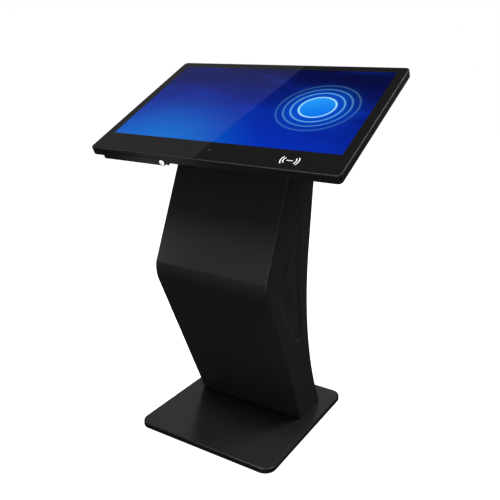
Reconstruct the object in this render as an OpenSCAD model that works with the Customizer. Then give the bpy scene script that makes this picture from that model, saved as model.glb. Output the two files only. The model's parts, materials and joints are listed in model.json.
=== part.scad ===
// Free-standing inclined touchscreen kiosk: a tilted display head on a folded sheet-metal
// pedestal and a weighted base. Millimetres. X to the visitor's right, Y to the back, Z up.
// The origin is on the floor under the centre of the base.

/* [Screen] */
// Width of the lit picture
screen_w = 698.4; // [660:0.1:720]
// Height of the lit picture
screen_h = 392.85; // [380:0.05:410]
// Angle of the glass from the horizontal
head_tilt = 27.5; // [24:0.5:31]
// Height of the picture's centre above the floor
screen_z = 945.5; // [930:0.5:960]
// Distance of the picture's centre behind the base's centre
screen_y = 6.3; // [0:0.1:12]

/* [Head] */
// Black border left and right of the picture
border_side = 27.6; // [25:0.1:32]
// Black border above the picture
border_top = 28.5; // [26:0.1:34]
// Black border below the picture
border_bottom = 80.5; // [78:0.1:90]
// Height of the frame's outer band
band_h = 24; // [22:0.5:26]
// Thickness of the frame's outer wall
frame_wall = 3; // [2.5:0.1:3.5]
// Corner radius of the head
head_corner_r = 12; // [10:0.5:14]
// Thickness of the cover glass
glass_t = 4; // [3:0.1:4.2]
// Depth of the back cover below the glass
back_depth = 60; // [58:0.5:64]
// Distance of the back cover's box from the head's edge
back_inset = 60; // [55:1:64]

/* [Hatch] */
// Left end of the hatch door, from the head's centre
hatch_left = 336; // [330:1:340]
// Right end of the hatch door, from the head's centre
hatch_right = 118; // [114:1:122]
// Top of the hatch door below the glass
hatch_top = 11.2; // [11:0.1:11.6]
// Height of the hatch door
hatch_h = 22.3; // [22:0.1:22.5]

/* [Pedestal] */
// Outer width of the pedestal
pedestal_w = 358; // [350:1:370]
// Sheet thickness of the pedestal
sheet = 2; // [1.5:0.1:2.2]
// Where the two front faces would meet if the nose were sharp: distance behind the base's centre
nose_y = -212; // [-216:1:-206]
// Height of that meeting point
nose_z = 489.6; // [480:0.5:500]
// Angle of the sharp crease where the upper front face ends, above the round nose
crease = 14; // [8:1:16]
// How far up the upper front face that crease lies, from the meeting point
crease_up = 23; // [18:1:26]
// Lean of the upper front face from the vertical
upper_lean = 21.6; // [20:0.2:23]
// Where the lower front face meets the base
foot_front_y = 30; // [24:1:36]
// Radius of the concave rear face
rear_r = 950; // [900:10:1000]
// Height at which the rear face is upright
rear_mid_z = 485; // [470:5:500]
// Distance of the rear face behind the base's centre at that height
rear_mid_y = 31; // [28:1:36]
// Lean of the straight upper part of the rear face
rear_lean = 4; // [3:0.5:5]
// Depth of the front sheet's return along either side
flange = 6; // [5:0.5:14]
// Open seam between that return and the side panel
seam = 1.2; // [0.5:0.1:2]
// Depth of the recessed side panel
recess = 4; // [3.5:0.5:6]

/* [Rear door] */
// Width of the rear door's opening
door_w = 300; // [280:2:306]
// Height of the rear door's opening
door_h = 260; // [240:2:270]

/* [Base] */
// Width of the base
base_w = 444; // [430:1:460]
// Depth of the base
base_d = 478.5; // [478:0.5:500]
// Height of the base's top above the floor
base_h = 16.8; // [16:0.1:18]
// Corner radius of the base
base_corner_r = 34; // [28:1:40]
// Radius of the base's top edge
base_edge_r = 3; // [2:0.5:4]

/* [Hidden] */
$fn = 64;

// Head, in its own frame: x to the right, y up the slope, z out of the glass
head_w = screen_w + 2 * border_side;
head_d = screen_h + border_top + border_bottom;
head_mid = (border_top - border_bottom) / 2;
head_front = head_mid - head_d / 2;
head_rear = head_mid + head_d / 2;
ledge_top = -(glass_t + 1.2);
ledge_t = 2.5;
ledge_w = 10;
lcd_top = ledge_top;
lcd_t = 12;
lcd_w = screen_w + 17.6;
lcd_d = screen_h + 18;
cover_t = 1.5;
rail_t = 3.6;
rail_x = 120;
standoff_y = [-110, 6];
mount_t = 4;
pan_inside = -(back_depth - cover_t);
neck_gap = 0.3;
cable_hole_r = 18;
screw_in = frame_wall + 5;
lug_top = -14;
screw_places = concat(
    [for (x = [-0.94, -0.2, 0.2, 0.57, 0.94]) [x * head_w / 2, head_front + screw_in]],
    [for (x = [-0.94, -0.47, 0, 0.47, 0.94]) [x * head_w / 2, head_rear - screw_in]]);

// Hatch and the box behind it
hatch_t = 2.5;
hatch_z = -(hatch_top + hatch_h / 2);
hatch_r = hatch_h / 2;
hatch_lock_x = -(hatch_right + hatch_r);
hatch_gap = 1;
hatch_axis = [head_front + 5, -(hatch_top + hatch_h) + 2.5];
hatch_pin_r = 1.5;
io_wall = 1.5;
io_left = -(hatch_left + hatch_gap + io_wall);
io_right = -(hatch_right - hatch_gap - io_wall);
io_roof = -9;
io_floor = -34;
io_front = head_front + frame_wall;
io_back = head_front + 51;
plate_y = head_front + 31;
plate_t = 1.5;
running = 0.05;
button_x = -150;
button_r = 5.8;
hatch_lock_r = 7;

// Fan
fan_x = 225;
fan_y = 95;
fan_size = 60;
fan_t = 15;
fan_z = pan_inside + 0.1;
fan_bore_r = 28;
blade_count = 7;

// Pedestal outline in the Y-Z plane
side_x = pedestal_w / 2;
upper_dir = [sin(upper_lean), cos(upper_lean)];
lower_lean = atan((foot_front_y - nose_y) / (nose_z - base_h));
lower_dir = [sin(lower_lean), -cos(lower_lean)];
upper_in = [cos(upper_lean), -sin(upper_lean)];
lower_in = [cos(lower_lean), sin(lower_lean)];
rear_centre = [rear_mid_y + rear_r, rear_mid_z];
rear_start = rear_centre + rear_r * [-cos(rear_lean), sin(rear_lean)];
rear_dir = [sin(rear_lean), cos(rear_lean)];
head_dir = [cos(head_tilt), sin(head_tilt)];
head_out = [-sin(head_tilt), cos(head_tilt)];
turn = upper_lean + lower_lean;
nose_tangent = crease_up * sin(turn) / sin(turn - crease);
nose_r = nose_tangent / tan((turn - crease) / 2);
crease_in = [cos(upper_lean - crease), -sin(upper_lean - crease)];
nose_centre = [nose_y, nose_z] + crease_up * upper_dir + nose_r * crease_in;
nose_steps = 16;
rear_steps = 36;
top_plate_t = 4;
foot_t = 5;
rib_t = 3.6;
rib_x = side_x - sheet - 0.3 - rib_t;
rib_w = 16;
tube_r = 8;
shelf_z = 570;
shelf_t = 2;
shelf_half = side_x - recess - 1.5 - 0.4;

// Recessed side panel: three round corners and a concave rear edge
recess_high_z = 670;
recess_high_r = 18;
recess_nose_y = -148;
recess_nose_z = 484;
recess_nose_r = 15;
recess_low_z = 303;
recess_low_r = 24;
recess_rear_centre = [913, 560];
recess_rear_r = 933;
grille_t = 1.5;
hole_r = 2.2;
hole_pitch = 6.4;
hole_row_pitch = 11.8;
hole_nose = [-127, 491];
// The two arms of the chevron of holes: upwards or downwards, lean, rows, and holes in the last row
hole_arms = [[1, 27.6, 9, 2], [-1, 34.5, 10, 4]];
hole_most = 6;
speaker_at = [-90, 490];
speaker_r = 38;

// Rear door, in the frame of the straight rear face: x to the right, y out of the back, z up it
door_low = 25;
door_gap = 1.2;
hinge_x = -(door_w / 2 - 0.6);
hinge_out = 4;
knuckle_r = 3.5;
hinge_pin_r = 1.75;
hinge_len = 60;
hinge_starts = [door_low + 20, door_low + door_h - 80];
lock_x = 126;
lock_up = door_low + door_h / 2;
lock_r = 9;

// Bundle of leads: from the power strip, up past the shelf and through the neck to the head
loom_r = 5;
loom_hole = [120, -130];
loom_route = [
    [121, 82, 40], [137, 76, 90], [128, 20, 230], [122, -40, 360], [120, -105, 480],
    [120, -130, 560], [120, -128, 610], [116, -108, 680], [108, -84, 738], [60, -42, 800],
    [14, -2, 848], [4, -12, 876], [30, -26, 893], [90, -50, 880], [146, -70, 860]
];

// Lower rear face: mains inlet and switch, and the vent slots above them
inlet_z = 85;
inlet_x = 70;
switch_x = 120;
rocker_half = 6.2;
rocker_rest = 10;
vent_zs = [150:14:248];

// Base
skirt_gap = 2.5;
cover_plate_t = 3;
ballast_t = 8;
ballast_z = base_h - cover_plate_t - ballast_t;
foot_bolts = [[-140, 60], [140, 60], [-140, 125], [140, 125]];
pads = [for (x = [-1, 1], y = [-1, 0, 1]) [x * (base_w / 2 - 45), y * (base_d / 2 - 45)]];
pad_r = 18;

// ---------- general shapes ----------

// Where the line through p along u crosses the line through q along v
function meet(p, u, q, v) = p + u * cross(q - p, v) / cross(u, v);

// Angle of a 2D direction from the first axis
function heading(v) = atan2(v[1], v[0]);

// Angle of the outward normal of the straight edge that touches two circles on its right-hand side
function edge_heading(p, q, rp, rq) = heading(q - p) - acos((rp - rq) / norm(q - p));

// Points of an arc, from one angle to another
function arc(centre, r, from, to, steps) =
    [for (i = [0 : steps])
        let (a = from + (to - from) * i / steps)
        centre + r * [cos(a), sin(a)]];

// The same angle, brought within half a turn of another
function near(angle, other) = angle + 360 * round((other - angle) / 360);

function reversed(p) = [for (i = [len(p) - 1 : -1 : 0]) p[i]];

// Rectangle with round corners, centred
module round_rect(w, d, r) {
    square([w - 2 * r, d], center = true);
    square([w, d - 2 * r], center = true);
    for (x = [-1, 1], y = [-1, 1])
        translate([x * (w / 2 - r), y * (d / 2 - r)]) circle(r = r);
}

// Plate with round corners and a rounded upper edge, standing on z = 0
module soft_plate(w, d, h, corner, edge) {
    linear_extrude(h - edge) round_rect(w, d, corner);
    linear_extrude(h) round_rect(w - 2 * edge, d - 2 * edge, corner - edge);
    translate([0, 0, h - edge]) {
        for (s = [-1, 1]) {
            translate([0, s * (d / 2 - edge), 0]) rotate([0, 90, 0])
                cylinder(r = edge, h = w - 2 * corner, center = true);
            translate([s * (w / 2 - edge), 0, 0]) rotate([90, 0, 0])
                cylinder(r = edge, h = d - 2 * corner, center = true);
        }
        for (x = [-1, 1], y = [-1, 1])
            translate([x * (w / 2 - corner), y * (d / 2 - corner), 0])
                rotate_extrude() translate([corner - edge, 0]) intersection() {
                    circle(r = edge);
                    translate([0, -edge]) square([edge, 2 * edge]);
                }
    }
}

// Box from its two opposite corners
module box(low, high) {
    translate(low) cube(high - low);
}

// Flat plate in the Y-Z plane, from x = low to x = high
module upright(low, high) {
    translate([low, 0, 0]) rotate([90, 0, 90]) linear_extrude(high - low) children();
}

// Cylinder along Y from low to high
module along_y(r, low, high) {
    translate([0, high, 0]) rotate([90, 0, 0]) cylinder(r = r, h = high - low);
}

// Cylinder along X from low to high
module along_x(r, low, high) {
    translate([low, 0, 0]) rotate([0, 90, 0]) cylinder(r = r, h = high - low);
}

// Point of a smooth curve through the middle two of four points
function smooth_point(a, b, c, d, t) =
    0.5 * (2 * b + (c - a) * t + (2 * a - 5 * b + 4 * c - d) * t * t
           + (3 * b - a - 3 * c + d) * t * t * t);

// Smooth route through all the points, with steps points between each two
function smooth_route(p, steps) =
    let (n = len(p) - 1)
    [for (i = [0 : n - 1], k = [0 : steps - 1])
        smooth_point(p[max(i - 1, 0)], p[i], p[i + 1], p[min(i + 2, n)], k / steps), p[n]];

function unit(v) = v / norm(v);

// Round tube along a route, with flat ends
module swept_tube(route, r, sides) {
    n = len(route);
    rings = [for (i = [0 : n - 1])
        let (along = unit(route[min(i + 1, n - 1)] - route[max(i - 1, 0)]),
             across = unit(cross([1, 0.2, 0], along)),
             over = cross(along, across))
        for (k = [0 : sides - 1])
            route[i] + r * (cos(k * 360 / sides) * across + sin(k * 360 / sides) * over)];
    walls = [for (i = [0 : n - 2], k = [0 : sides - 1])
        let (m = (k + 1) % sides)
        [i * sides + k, (i + 1) * sides + k, (i + 1) * sides + m, i * sides + m]];
    first = [for (k = [0 : sides - 1]) k];
    last = [for (k = [sides - 1 : -1 : 0]) (n - 1) * sides + k];
    polyhedron(concat(rings), concat(walls, [first], [last]));
}

// ---------- places ----------

module on_head() {
    translate([0, screen_y, screen_z]) rotate([head_tilt, 0, 0]) children();
}

module on_rear() {
    translate([0, rear_start[0], rear_start[1]]) rotate([-rear_lean, 0, 0]) children();
}

module on_rear_arc(z) {
    turn = asin((rear_mid_z - z) / rear_r);
    translate([0, rear_centre[0] - rear_r * cos(turn), rear_centre[1] - rear_r * sin(turn)])
        rotate([turn, 0, 0]) children();
}

// ---------- pedestal outlines, 2D in the Y-Z plane ----------

// Front face from a height up to a plane parallel to the glass, moved in by inset.
// The round nose stops at the crease, so its arc ends a little short of the upper face's lean.
function front_line(inset, low, depth) =
    let (foot = [nose_y, nose_z] + inset * lower_in,
         brow = [nose_y, nose_z] + inset * upper_in,
         sharp = acos((nose_r * cos(crease) - inset) / (nose_r - inset)))
    concat([meet(foot, lower_dir, [0, low], [1, 0])],
           arc(nose_centre, nose_r - inset, 180 + lower_lean, 180 - upper_lean + sharp, nose_steps),
           [meet(brow, upper_dir, [screen_y, screen_z] - depth * head_out, head_dir)]);

// Rear face from a plane parallel to the glass down to a height, moved in by inset
function rear_line(inset, low, depth) =
    let (r = rear_r + inset,
         start = rear_centre + r * [-cos(rear_lean), sin(rear_lean)])
    concat([meet(start, rear_dir, [screen_y, screen_z] - depth * head_out, head_dir)],
           arc(rear_centre, r, 180 - rear_lean, 180 + asin((rear_mid_z - low) / r), rear_steps));

// Side outline of the pedestal
module profile(front_inset, rear_inset, low, depth) {
    polygon(concat(front_line(front_inset, low, depth), rear_line(rear_inset, low, depth)));
}

// Centre of a recess corner that just touches the recess's concave rear arc
function recess_corner(z, r) =
    [recess_rear_centre[0] - sqrt(pow(recess_rear_r + r, 2) - pow(z - recess_rear_centre[1], 2)), z];

// Outline of the recessed side panel, moved in by inset
module recess_outline(inset) {
    low = recess_corner(recess_low_z, recess_low_r);
    high = recess_corner(recess_high_z, recess_high_r);
    nose = [recess_nose_y, recess_nose_z];
    low_side = heading(recess_rear_centre - low);
    high_side = heading(recess_rear_centre - high);
    brow = edge_heading(high, nose, recess_high_r, recess_nose_r);
    chin = edge_heading(nose, low, recess_nose_r, recess_low_r);
    polygon(concat(
        arc(low, recess_low_r - inset, near(chin, low_side - 90), low_side, 12),
        arc(recess_rear_centre, recess_rear_r + inset, 180 + low_side, 180 + high_side, 20),
        arc(high, recess_high_r - inset, high_side, near(brow, high_side + 90), 12),
        arc(nose, recess_nose_r - inset, near(brow, 150), near(chin, 210), 8)));
}

// ---------- head ----------

module cover_glass() {
    color("black") on_head() translate([0, head_mid, -glass_t]) linear_extrude(glass_t)
        round_rect(head_w - 2 * frame_wall - 0.6, head_d - 2 * frame_wall - 0.6,
                   head_corner_r - frame_wall);
}

module glass_gasket() {
    color("dimgray") on_head() translate([0, head_mid, -glass_t - 1.1]) linear_extrude(1.1)
        difference() {
            round_rect(head_w - 2 * frame_wall - 1, head_d - 2 * frame_wall - 1,
                       head_corner_r - frame_wall);
            square([head_w - 2 * frame_wall - 2 * ledge_w + 2,
                    head_d - 2 * frame_wall - 2 * ledge_w + 2], center = true);
        }
}

module touch_sensor() {
    color("darkslategray") on_head()
        box([-screen_w / 2 - 6, -screen_h / 2 - 6, -glass_t - 1],
            [screen_w / 2 + 6, screen_h / 2 + 6, -glass_t]);
}

module lcd_panel() {
    color("royalblue") on_head()
        box([-lcd_w / 2, -lcd_d / 2, lcd_top - lcd_t], [lcd_w / 2, lcd_d / 2, lcd_top]);
}

// Outline of the hatch door in the plane of the front band, grown by grow
module hatch_outline(grow) {
    low = -(hatch_top + hatch_h) - grow;
    high = -hatch_top + grow;
    translate([-hatch_left - grow, low]) square([hatch_left + hatch_lock_x + grow, high - low]);
    translate([hatch_lock_x, hatch_z]) circle(r = hatch_r + grow);
}

// A 2D outline drawn in x and height, made solid from y = low to y = high
module along_front(low, high) {
    translate([0, high, 0]) rotate([90, 0, 0]) linear_extrude(high - low) children();
}

module head_frame() {
    inner_w = head_w - 2 * frame_wall;
    inner_d = head_d - 2 * frame_wall;
    inner_r = head_corner_r - frame_wall;
    color("#1b1b1d") on_head() difference() {
        translate([0, head_mid, -band_h]) soft_plate(head_w, head_d, band_h, head_corner_r, 2);
        difference() {
            translate([0, head_mid, -band_h - 1]) linear_extrude(band_h + 1 + ledge_top - ledge_t)
                round_rect(inner_w, inner_d, inner_r);
            // lugs that take the back cover's screws
            for (p = screw_places)
                box([p[0] - 6, p[1] - 8, -band_h + cover_t + 0.1], [p[0] + 6, p[1] + 8, lug_top]);
        }
        translate([0, head_mid, ledge_top - ledge_t - 1]) linear_extrude(ledge_t + 2)
            square([inner_w - 2 * ledge_w, inner_d - 2 * ledge_w], center = true);
        translate([0, head_mid, ledge_top]) linear_extrude(band_h) round_rect(inner_w, inner_d, inner_r);
        along_front(head_front - 1, head_front + frame_wall + 0.1) hatch_outline(hatch_gap + 0.2);
        for (p = screw_places)
            translate([p[0], p[1], -band_h - 1]) cylinder(r = 1.9, h = 8.5);
    }
}

module panel_rails() {
    color("silver") on_head() for (s = [-1, 1]) {
        translate([s * rail_x, 0, lcd_top - lcd_t - rail_t - 0.1])
            translate([-14, -lcd_d / 2, 0]) cube([28, lcd_d, rail_t]);
    }
}

module standoffs() {
    color("silver") on_head() for (s = [-1, 1], y = standoff_y)
        translate([s * rail_x, y, pan_inside + mount_t + 0.1])
            cylinder(r = 7, h = lcd_top - lcd_t - rail_t - 0.2 - (pan_inside + mount_t + 0.1));
}

module mount_plate() {
    color("gray") on_head() difference() {
        box([-150, -128, pan_inside + 0.1], [150, 32, pan_inside + mount_t]);
        translate([0, -48, pan_inside - 1]) cylinder(r = cable_hole_r, h = mount_t + 3);
        for (s = [-1, 1], y = standoff_y)
            translate([s * (rail_x - 30), y, pan_inside - 1]) cylinder(r = 4, h = mount_t + 3);
    }
}

module back_cover() {
    pan_w = head_w - 2 * back_inset;
    pan_d = head_d - 2 * back_inset;
    flange = -band_h + cover_t;
    color("#1b1b1d") on_head() difference() {
        union() {
            translate([0, head_mid, -band_h]) linear_extrude(cover_t)
                round_rect(head_w - 2 * frame_wall - 0.6, head_d - 2 * frame_wall - 0.6, 8);
            translate([0, head_mid, -back_depth]) linear_extrude(back_depth - band_h + cover_t)
                round_rect(pan_w, pan_d, 16);
        }
        translate([0, head_mid, pan_inside]) linear_extrude(back_depth)
            round_rect(pan_w - 2 * cover_t, pan_d - 2 * cover_t, 16 - cover_t);
        // the I/O box hangs through the flange
        box([io_left - 0.3, head_front, -band_h - 1], [io_right + 0.3, io_back + 0.3, flange + 1]);
        // cable hole and bolts to the neck
        translate([0, -48, -back_depth - 1]) cylinder(r = cable_hole_r, h = cover_t + 2);
        for (s = [-1, 1], y = standoff_y)
            translate([s * (rail_x - 30), y, -back_depth - 1]) cylinder(r = 4, h = cover_t + 2);
        for (p = screw_places)
            translate([p[0], p[1], -band_h - 1]) cylinder(r = 2, h = cover_t + 2);
        // fan vent
        translate([fan_x, fan_y, -back_depth - 1]) fan_vent(cover_t + 2);
        // intake slots at the other end
        for (i = [0 : 11])
            translate([-285 + i * 12, 60, -back_depth - 1]) linear_extrude(cover_t + 2)
                round_rect(5, 60, 2.4);
    }
}

// Rings of small holes under the fan
module fan_vent(h) {
    for (ring = [1 : 4], i = [0 : ring * 6 - 1])
        rotate(i * 60 / ring) translate([ring * 6, 0, 0]) cylinder(r = 2, h = h, $fn = 24);
}

module cover_screws() {
    color("silver") on_head() for (p = screw_places)
        translate([p[0], p[1], -band_h - 1.6]) {
            cylinder(r = 3.5, h = 1.6);
            cylinder(r = 1.9, h = 8);
        }
}

module mainboard() {
    color("darkgreen") on_head() translate([-236, 10, pan_inside + 6]) {
        box([-75, -85, 0], [75, 85, 1.6]);
        box([-25, -20, 1.6], [25, 30, 14]);
        for (i = [0 : 7])
            box([-25 + i * 6.8, -20, 14], [-22.6 + i * 6.8, 30, 20]);
        for (i = [0 : 3])
            box([-72, -75 + i * 24, 1.6], [-54, -59 + i * 24, 13]);
        box([45, -60, 1.6], [51, 70, 6]);
        for (x = [-68, 68], y = [-78, 78])
            translate([x, y, -5.9]) cylinder(r = 3, h = 5.9);
    }
}

module backlight_driver() {
    color("darkgreen") on_head() translate([215, -10, pan_inside + 6]) {
        box([-60, -25, 0], [60, 25, 1.6]);
        box([-40, -15, 1.6], [-15, 15, 12]);
        for (i = [0 : 2])
            translate([10 + i * 17, 0, 1.6]) cylinder(r = 6, h = 11);
        for (x = [-54, 54], y = [-19, 19])
            translate([x, y, -5.9]) cylinder(r = 3, h = 5.9);
    }
}

module power_supply() {
    color("lightgray") on_head() translate([225, -120, pan_inside + 0.1]) difference() {
        box([-75, -45, 0], [75, 45, 30]);
        for (i = [0 : 9])
            box([-60 + i * 12, -46, 5], [-56 + i * 12, -42, 25]);
    }
}

module fan_housing() {
    color("#202020") on_head() translate([fan_x, fan_y, fan_z]) difference() {
        linear_extrude(fan_t) round_rect(fan_size, fan_size, 4);
        translate([0, 0, 2]) cylinder(r = fan_bore_r, h = fan_t);
        difference() {
            translate([0, 0, -1]) cylinder(r = fan_bore_r, h = 4);
            translate([0, 0, -1]) cylinder(r = 13, h = 4);
            for (a = [0 : 90 : 270])
                rotate(a) box([0, -2, -1], [fan_bore_r + 1, 2, 4]);
        }
        for (x = [-1, 1], y = [-1, 1])
            translate([x * 25, y * 25, -1]) cylinder(r = 2.2, h = fan_t + 2);
        cylinder(r = 2 + running, h = 2.1);
    }
}

module fan_rotor() {
    color("#2a2a2a") on_head() translate([fan_x, fan_y, fan_z]) {
        translate([0, 0, 2.6]) cylinder(r = 12, h = fan_t - 4);
        translate([0, 0, 0.4]) cylinder(r = 2, h = 3);
        for (i = [0 : blade_count - 1])
            rotate(i * 360 / blade_count) translate([18.5, 0, fan_t / 2 + 0.6]) rotate([38, 0, 0])
                cube([15, 13, 1.2], center = true);
    }
}

module contactless_reader() {
    color("darkgreen") on_head() translate([233.6, head_front + 41, -glass_t - 7.3]) {
        linear_extrude(1.6) round_rect(76, 46, 3);
        linear_extrude(7.2) difference() {
            round_rect(70, 40, 6);
            round_rect(58, 28, 3);
        }
        box([-12, -8, 1.6], [12, 8, 4]);
    }
}

module light_sensor() {
    color("#303030") on_head() translate([0, head_front + 46.4, -glass_t - 5])
        cylinder(r = 3.5, h = 4.9);
}

// Folded box under the front edge that holds the ports
module io_box() {
    color("#1b1b1d") on_head() difference() {
        box([io_left, io_front, io_floor], [io_right, io_back, io_roof]);
        box([io_left + io_wall, io_front - 1, io_floor + io_wall],
            [io_right - io_wall, io_back - io_wall, io_roof - io_wall]);
        // the floor stops short of the door's lower edge, which swings under it
        box([io_left + io_wall, io_front - 1, io_floor - 1],
            [io_right - io_wall, hatch_axis[0] + 6.2, io_floor + io_wall + 1]);
        translate([0, hatch_axis[0], hatch_axis[1]])
            along_x(hatch_pin_r + running, io_left - 1, io_right + 1);
    }
    // catch behind which the lock's cam turns
    color("#1b1b1d") on_head()
        box([hatch_lock_x - 6, head_front + 6.6, -13.4], [hatch_lock_x + 6, head_front + 8, io_roof - 0.5]);
}

// Places and sizes of the sockets along the port plate: x, width, height
sockets = [[-310, 13.4, 5.8], [-286, 13.4, 5.8], [-262, 13.4, 5.8], [-230, 15.8, 13.2],
           [-198, 15, 5.4]];

module port_plate() {
    color("dimgray") on_head() difference() {
        box([io_left + io_wall + 0.1, plate_y, io_floor + io_wall + 0.1],
            [io_right - io_wall - 0.1, plate_y + plate_t, io_roof - io_wall - 0.1]);
        for (s = sockets)
            translate([s[0], plate_y, hatch_z]) cube([s[1] + 0.2, 8, s[2] + 0.2], center = true);
        translate([button_x, 0, hatch_z]) along_y(button_r + 0.4, plate_y - 1, plate_y + plate_t + 1);
    }
}

module port_sockets() {
    color("silver") on_head() for (s = sockets)
        translate([s[0], plate_y + 6, hatch_z]) {
            difference() {
                cube([s[1], 13.5, s[2]], center = true);
                translate([0, -1.2, 0]) cube([s[1] - 1.2, 13.5, s[2] - 1.2], center = true);
            }
            translate([0, 0.5, 0]) cube([s[1] - 3.4, 11.5, 1.2], center = true);
        }
}

module power_button() {
    color("#c8c8cc") on_head() translate([button_x, 0, hatch_z]) {
        along_y(button_r, plate_y - 2.5, plate_y + 2);
        along_y(button_r + 1.2, plate_y + plate_t + 0.4, plate_y + plate_t + 2);
    }
}

module hatch_door() {
    color("#202022") on_head() {
        difference() {
            along_front(head_front, head_front + hatch_t) hatch_outline(0);
            translate([hatch_lock_x, 0, hatch_z])
                along_y(hatch_lock_r + running, head_front - 1, head_front + hatch_t + 1);
        }
        for (x = [-hatch_left, hatch_lock_x + 3])
            difference() {
                box([x, head_front + hatch_t - 0.1, hatch_axis[1] - 2.4],
                    [x + 2, hatch_axis[0] + 2.6, hatch_axis[1] + 1.9]);
                translate([0, hatch_axis[0], hatch_axis[1]]) along_x(hatch_pin_r, x - 1, x + 3);
            }
    }
}

module hatch_pins() {
    color("silver") on_head() translate([0, hatch_axis[0], hatch_axis[1]]) {
        along_x(hatch_pin_r, io_left, -hatch_left + 2);
        along_x(hatch_pin_r, hatch_lock_x + 3, io_right);
    }
}

module hatch_lock() {
    color("#d8d8da") on_head() translate([hatch_lock_x, 0, hatch_z]) difference() {
        union() {
            along_y(hatch_lock_r + 1, head_front - 1.6, head_front - 0.3);
            along_y(hatch_lock_r, head_front - 0.5, head_front + 9);
            // cam, pointing left: unlocked
            box([-11.2, head_front + 9, -3.5], [4, head_front + 10.5, 3.5]);
        }
        along_y(3.2, head_front - 2, head_front + 1);
    }
    color("#b0b0b4") on_head() translate([hatch_lock_x, 0, hatch_z]) difference() {
        along_y(3, head_front - 1.4, head_front + 1.5);
        box([-0.5, head_front - 2, -2], [0.5, head_front, 2]);
    }
}

// ---------- neck and pedestal ----------

module top_plate() {
    half = rib_x + rib_t;
    color("gray") on_head() difference() {
        box([-half, -120, -(back_depth + neck_gap + top_plate_t)], [half, 22, -(back_depth + neck_gap)]);
        translate([0, -48, -back_depth - 10]) cylinder(r = cable_hole_r, h = 12);
        for (s = [-1, 1], y = standoff_y)
            translate([s * (rail_x - 30), y, -back_depth - 10]) cylinder(r = 4, h = 12);
    }
}

module neck_bolts() {
    color("silver") on_head() for (s = [-1, 1], y = standoff_y)
        translate([s * (rail_x - 30), y, 0]) {
            translate([0, 0, -(back_depth + neck_gap + top_plate_t) - 5])
                cylinder(r = 7.5, h = 5, $fn = 6);
            translate([0, 0, -(back_depth + neck_gap + top_plate_t) - 5])
                cylinder(r = 3.9, h = 5 + top_plate_t + neck_gap + cover_t + mount_t + 4);
        }
}

// Strip behind the front face, depth wide
module front_strip(depth) {
    polygon(concat(front_line(0, base_h, back_depth + neck_gap),
                   reversed(front_line(depth, base_h, back_depth + neck_gap))));
}

module front_panel() {
    color("#161617") upright(-side_x, side_x) front_strip(sheet);
    // returns along the two sides
    color("#161617") for (s = [-1, 1])
        upright(s * (side_x - sheet / 2) - sheet / 2, s * (side_x - sheet / 2) + sheet / 2)
            front_strip(flange);
}

module side_panel() {
    color("#1a1a1b") {
        upright(side_x - sheet, side_x) difference() {
            profile(flange + seam, 0, base_h, back_depth + neck_gap);
            recess_outline(0);
        }
        upright(side_x - recess, side_x - sheet) difference() {
            recess_outline(-sheet);
            recess_outline(0);
        }
    }
}

module right_side_panel() {
    side_panel();
}

module left_side_panel() {
    mirror([1, 0, 0]) side_panel();
}

// Chevron of small holes behind the recess's nose: each row is square to its arm's edge
module sound_holes() {
    for (arm = hole_arms, row = [0 : arm[2] - 1]) {
        way = [sin(arm[1]), arm[0] * cos(arm[1])];
        across = [cos(arm[1]), -arm[0] * sin(arm[1])];
        start = hole_nose + (row + 0.5) * hole_row_pitch * way;
        holes = round(hole_most + (arm[3] - hole_most) * row / (arm[2] - 1));
        for (i = [0 : holes - 1]) {
            place = start + i * hole_pitch * across;
            if (arm[0] * (place[1] - hole_nose[1]) > hole_r + 1)
                translate(place) circle(r = hole_r, $fn = 16);
        }
    }
}

module grille() {
    color("#1a1a1b") upright(side_x - recess - grille_t, side_x - recess) difference() {
        recess_outline(-7);
        sound_holes();
    }
}

module right_grille() {
    grille();
}

module left_grille() {
    mirror([1, 0, 0]) grille();
}

// A shape turned about the X axis through the loudspeaker's centre, built from the grille inwards
module at_speaker() {
    translate([side_x - recess - grille_t - 0.1, speaker_at[0], speaker_at[1]]) rotate([0, -90, 0])
        children();
}

module speaker() {
    color("#333333") at_speaker() difference() {
        union() {
            cylinder(r = speaker_r, h = 4);
            translate([0, 0, 3.9]) cylinder(r1 = speaker_r - 3, r2 = 20, h = 20);
            translate([0, 0, 23.8]) cylinder(r = 24, h = 14);
        }
        translate([0, 0, -1]) cylinder(r = speaker_r - 5, h = 5.1);
        translate([0, 0, 4]) cylinder(r1 = speaker_r - 5, r2 = 16, h = 17);
    }
}

module cone() {
    color("#111111") at_speaker() rotate_extrude() polygon([
        [0, 8], [9, 10.6], [speaker_r - 10, 2.6], [speaker_r - 5.2, 3.2], [speaker_r - 5.2, 4.2],
        [speaker_r - 10, 4], [9, 12], [0, 9.4]]);
}

module right_speaker() {
    speaker();
}

module left_speaker() {
    mirror([1, 0, 0]) speaker();
}

module right_cone() {
    cone();
}

module left_cone() {
    mirror([1, 0, 0]) cone();
}

module rib() {
    inset = sheet + 0.3;
    door_clear = 6.5;
    color("gray") upright(rib_x, rib_x + rib_t) difference() {
        profile(inset, inset + door_clear, base_h + foot_t + 0.1, back_depth + neck_gap + top_plate_t + 0.1);
        profile(inset + rib_w, inset + door_clear + rib_w, base_h + foot_t + rib_w,
                back_depth + neck_gap + top_plate_t + rib_w);
    }
}

module right_rib() {
    rib();
}

module left_rib() {
    mirror([1, 0, 0]) rib();
}

// Places of the tubes that tie the two ribs: along the front faces, and on the rear face
tie_front = sheet + 0.3 + rib_w / 2;
ties = [
    [nose_y, nose_z] + 300 * lower_dir + tie_front * lower_in,
    [nose_y + 35, nose_z],
    [nose_y, nose_z] + 270 * upper_dir + tie_front * upper_in,
    rear_centre + (rear_r + 17.5) * [-cos(8), -sin(8)],
    rear_centre + (rear_r + 17.5) * [-1, 0]
];

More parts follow.
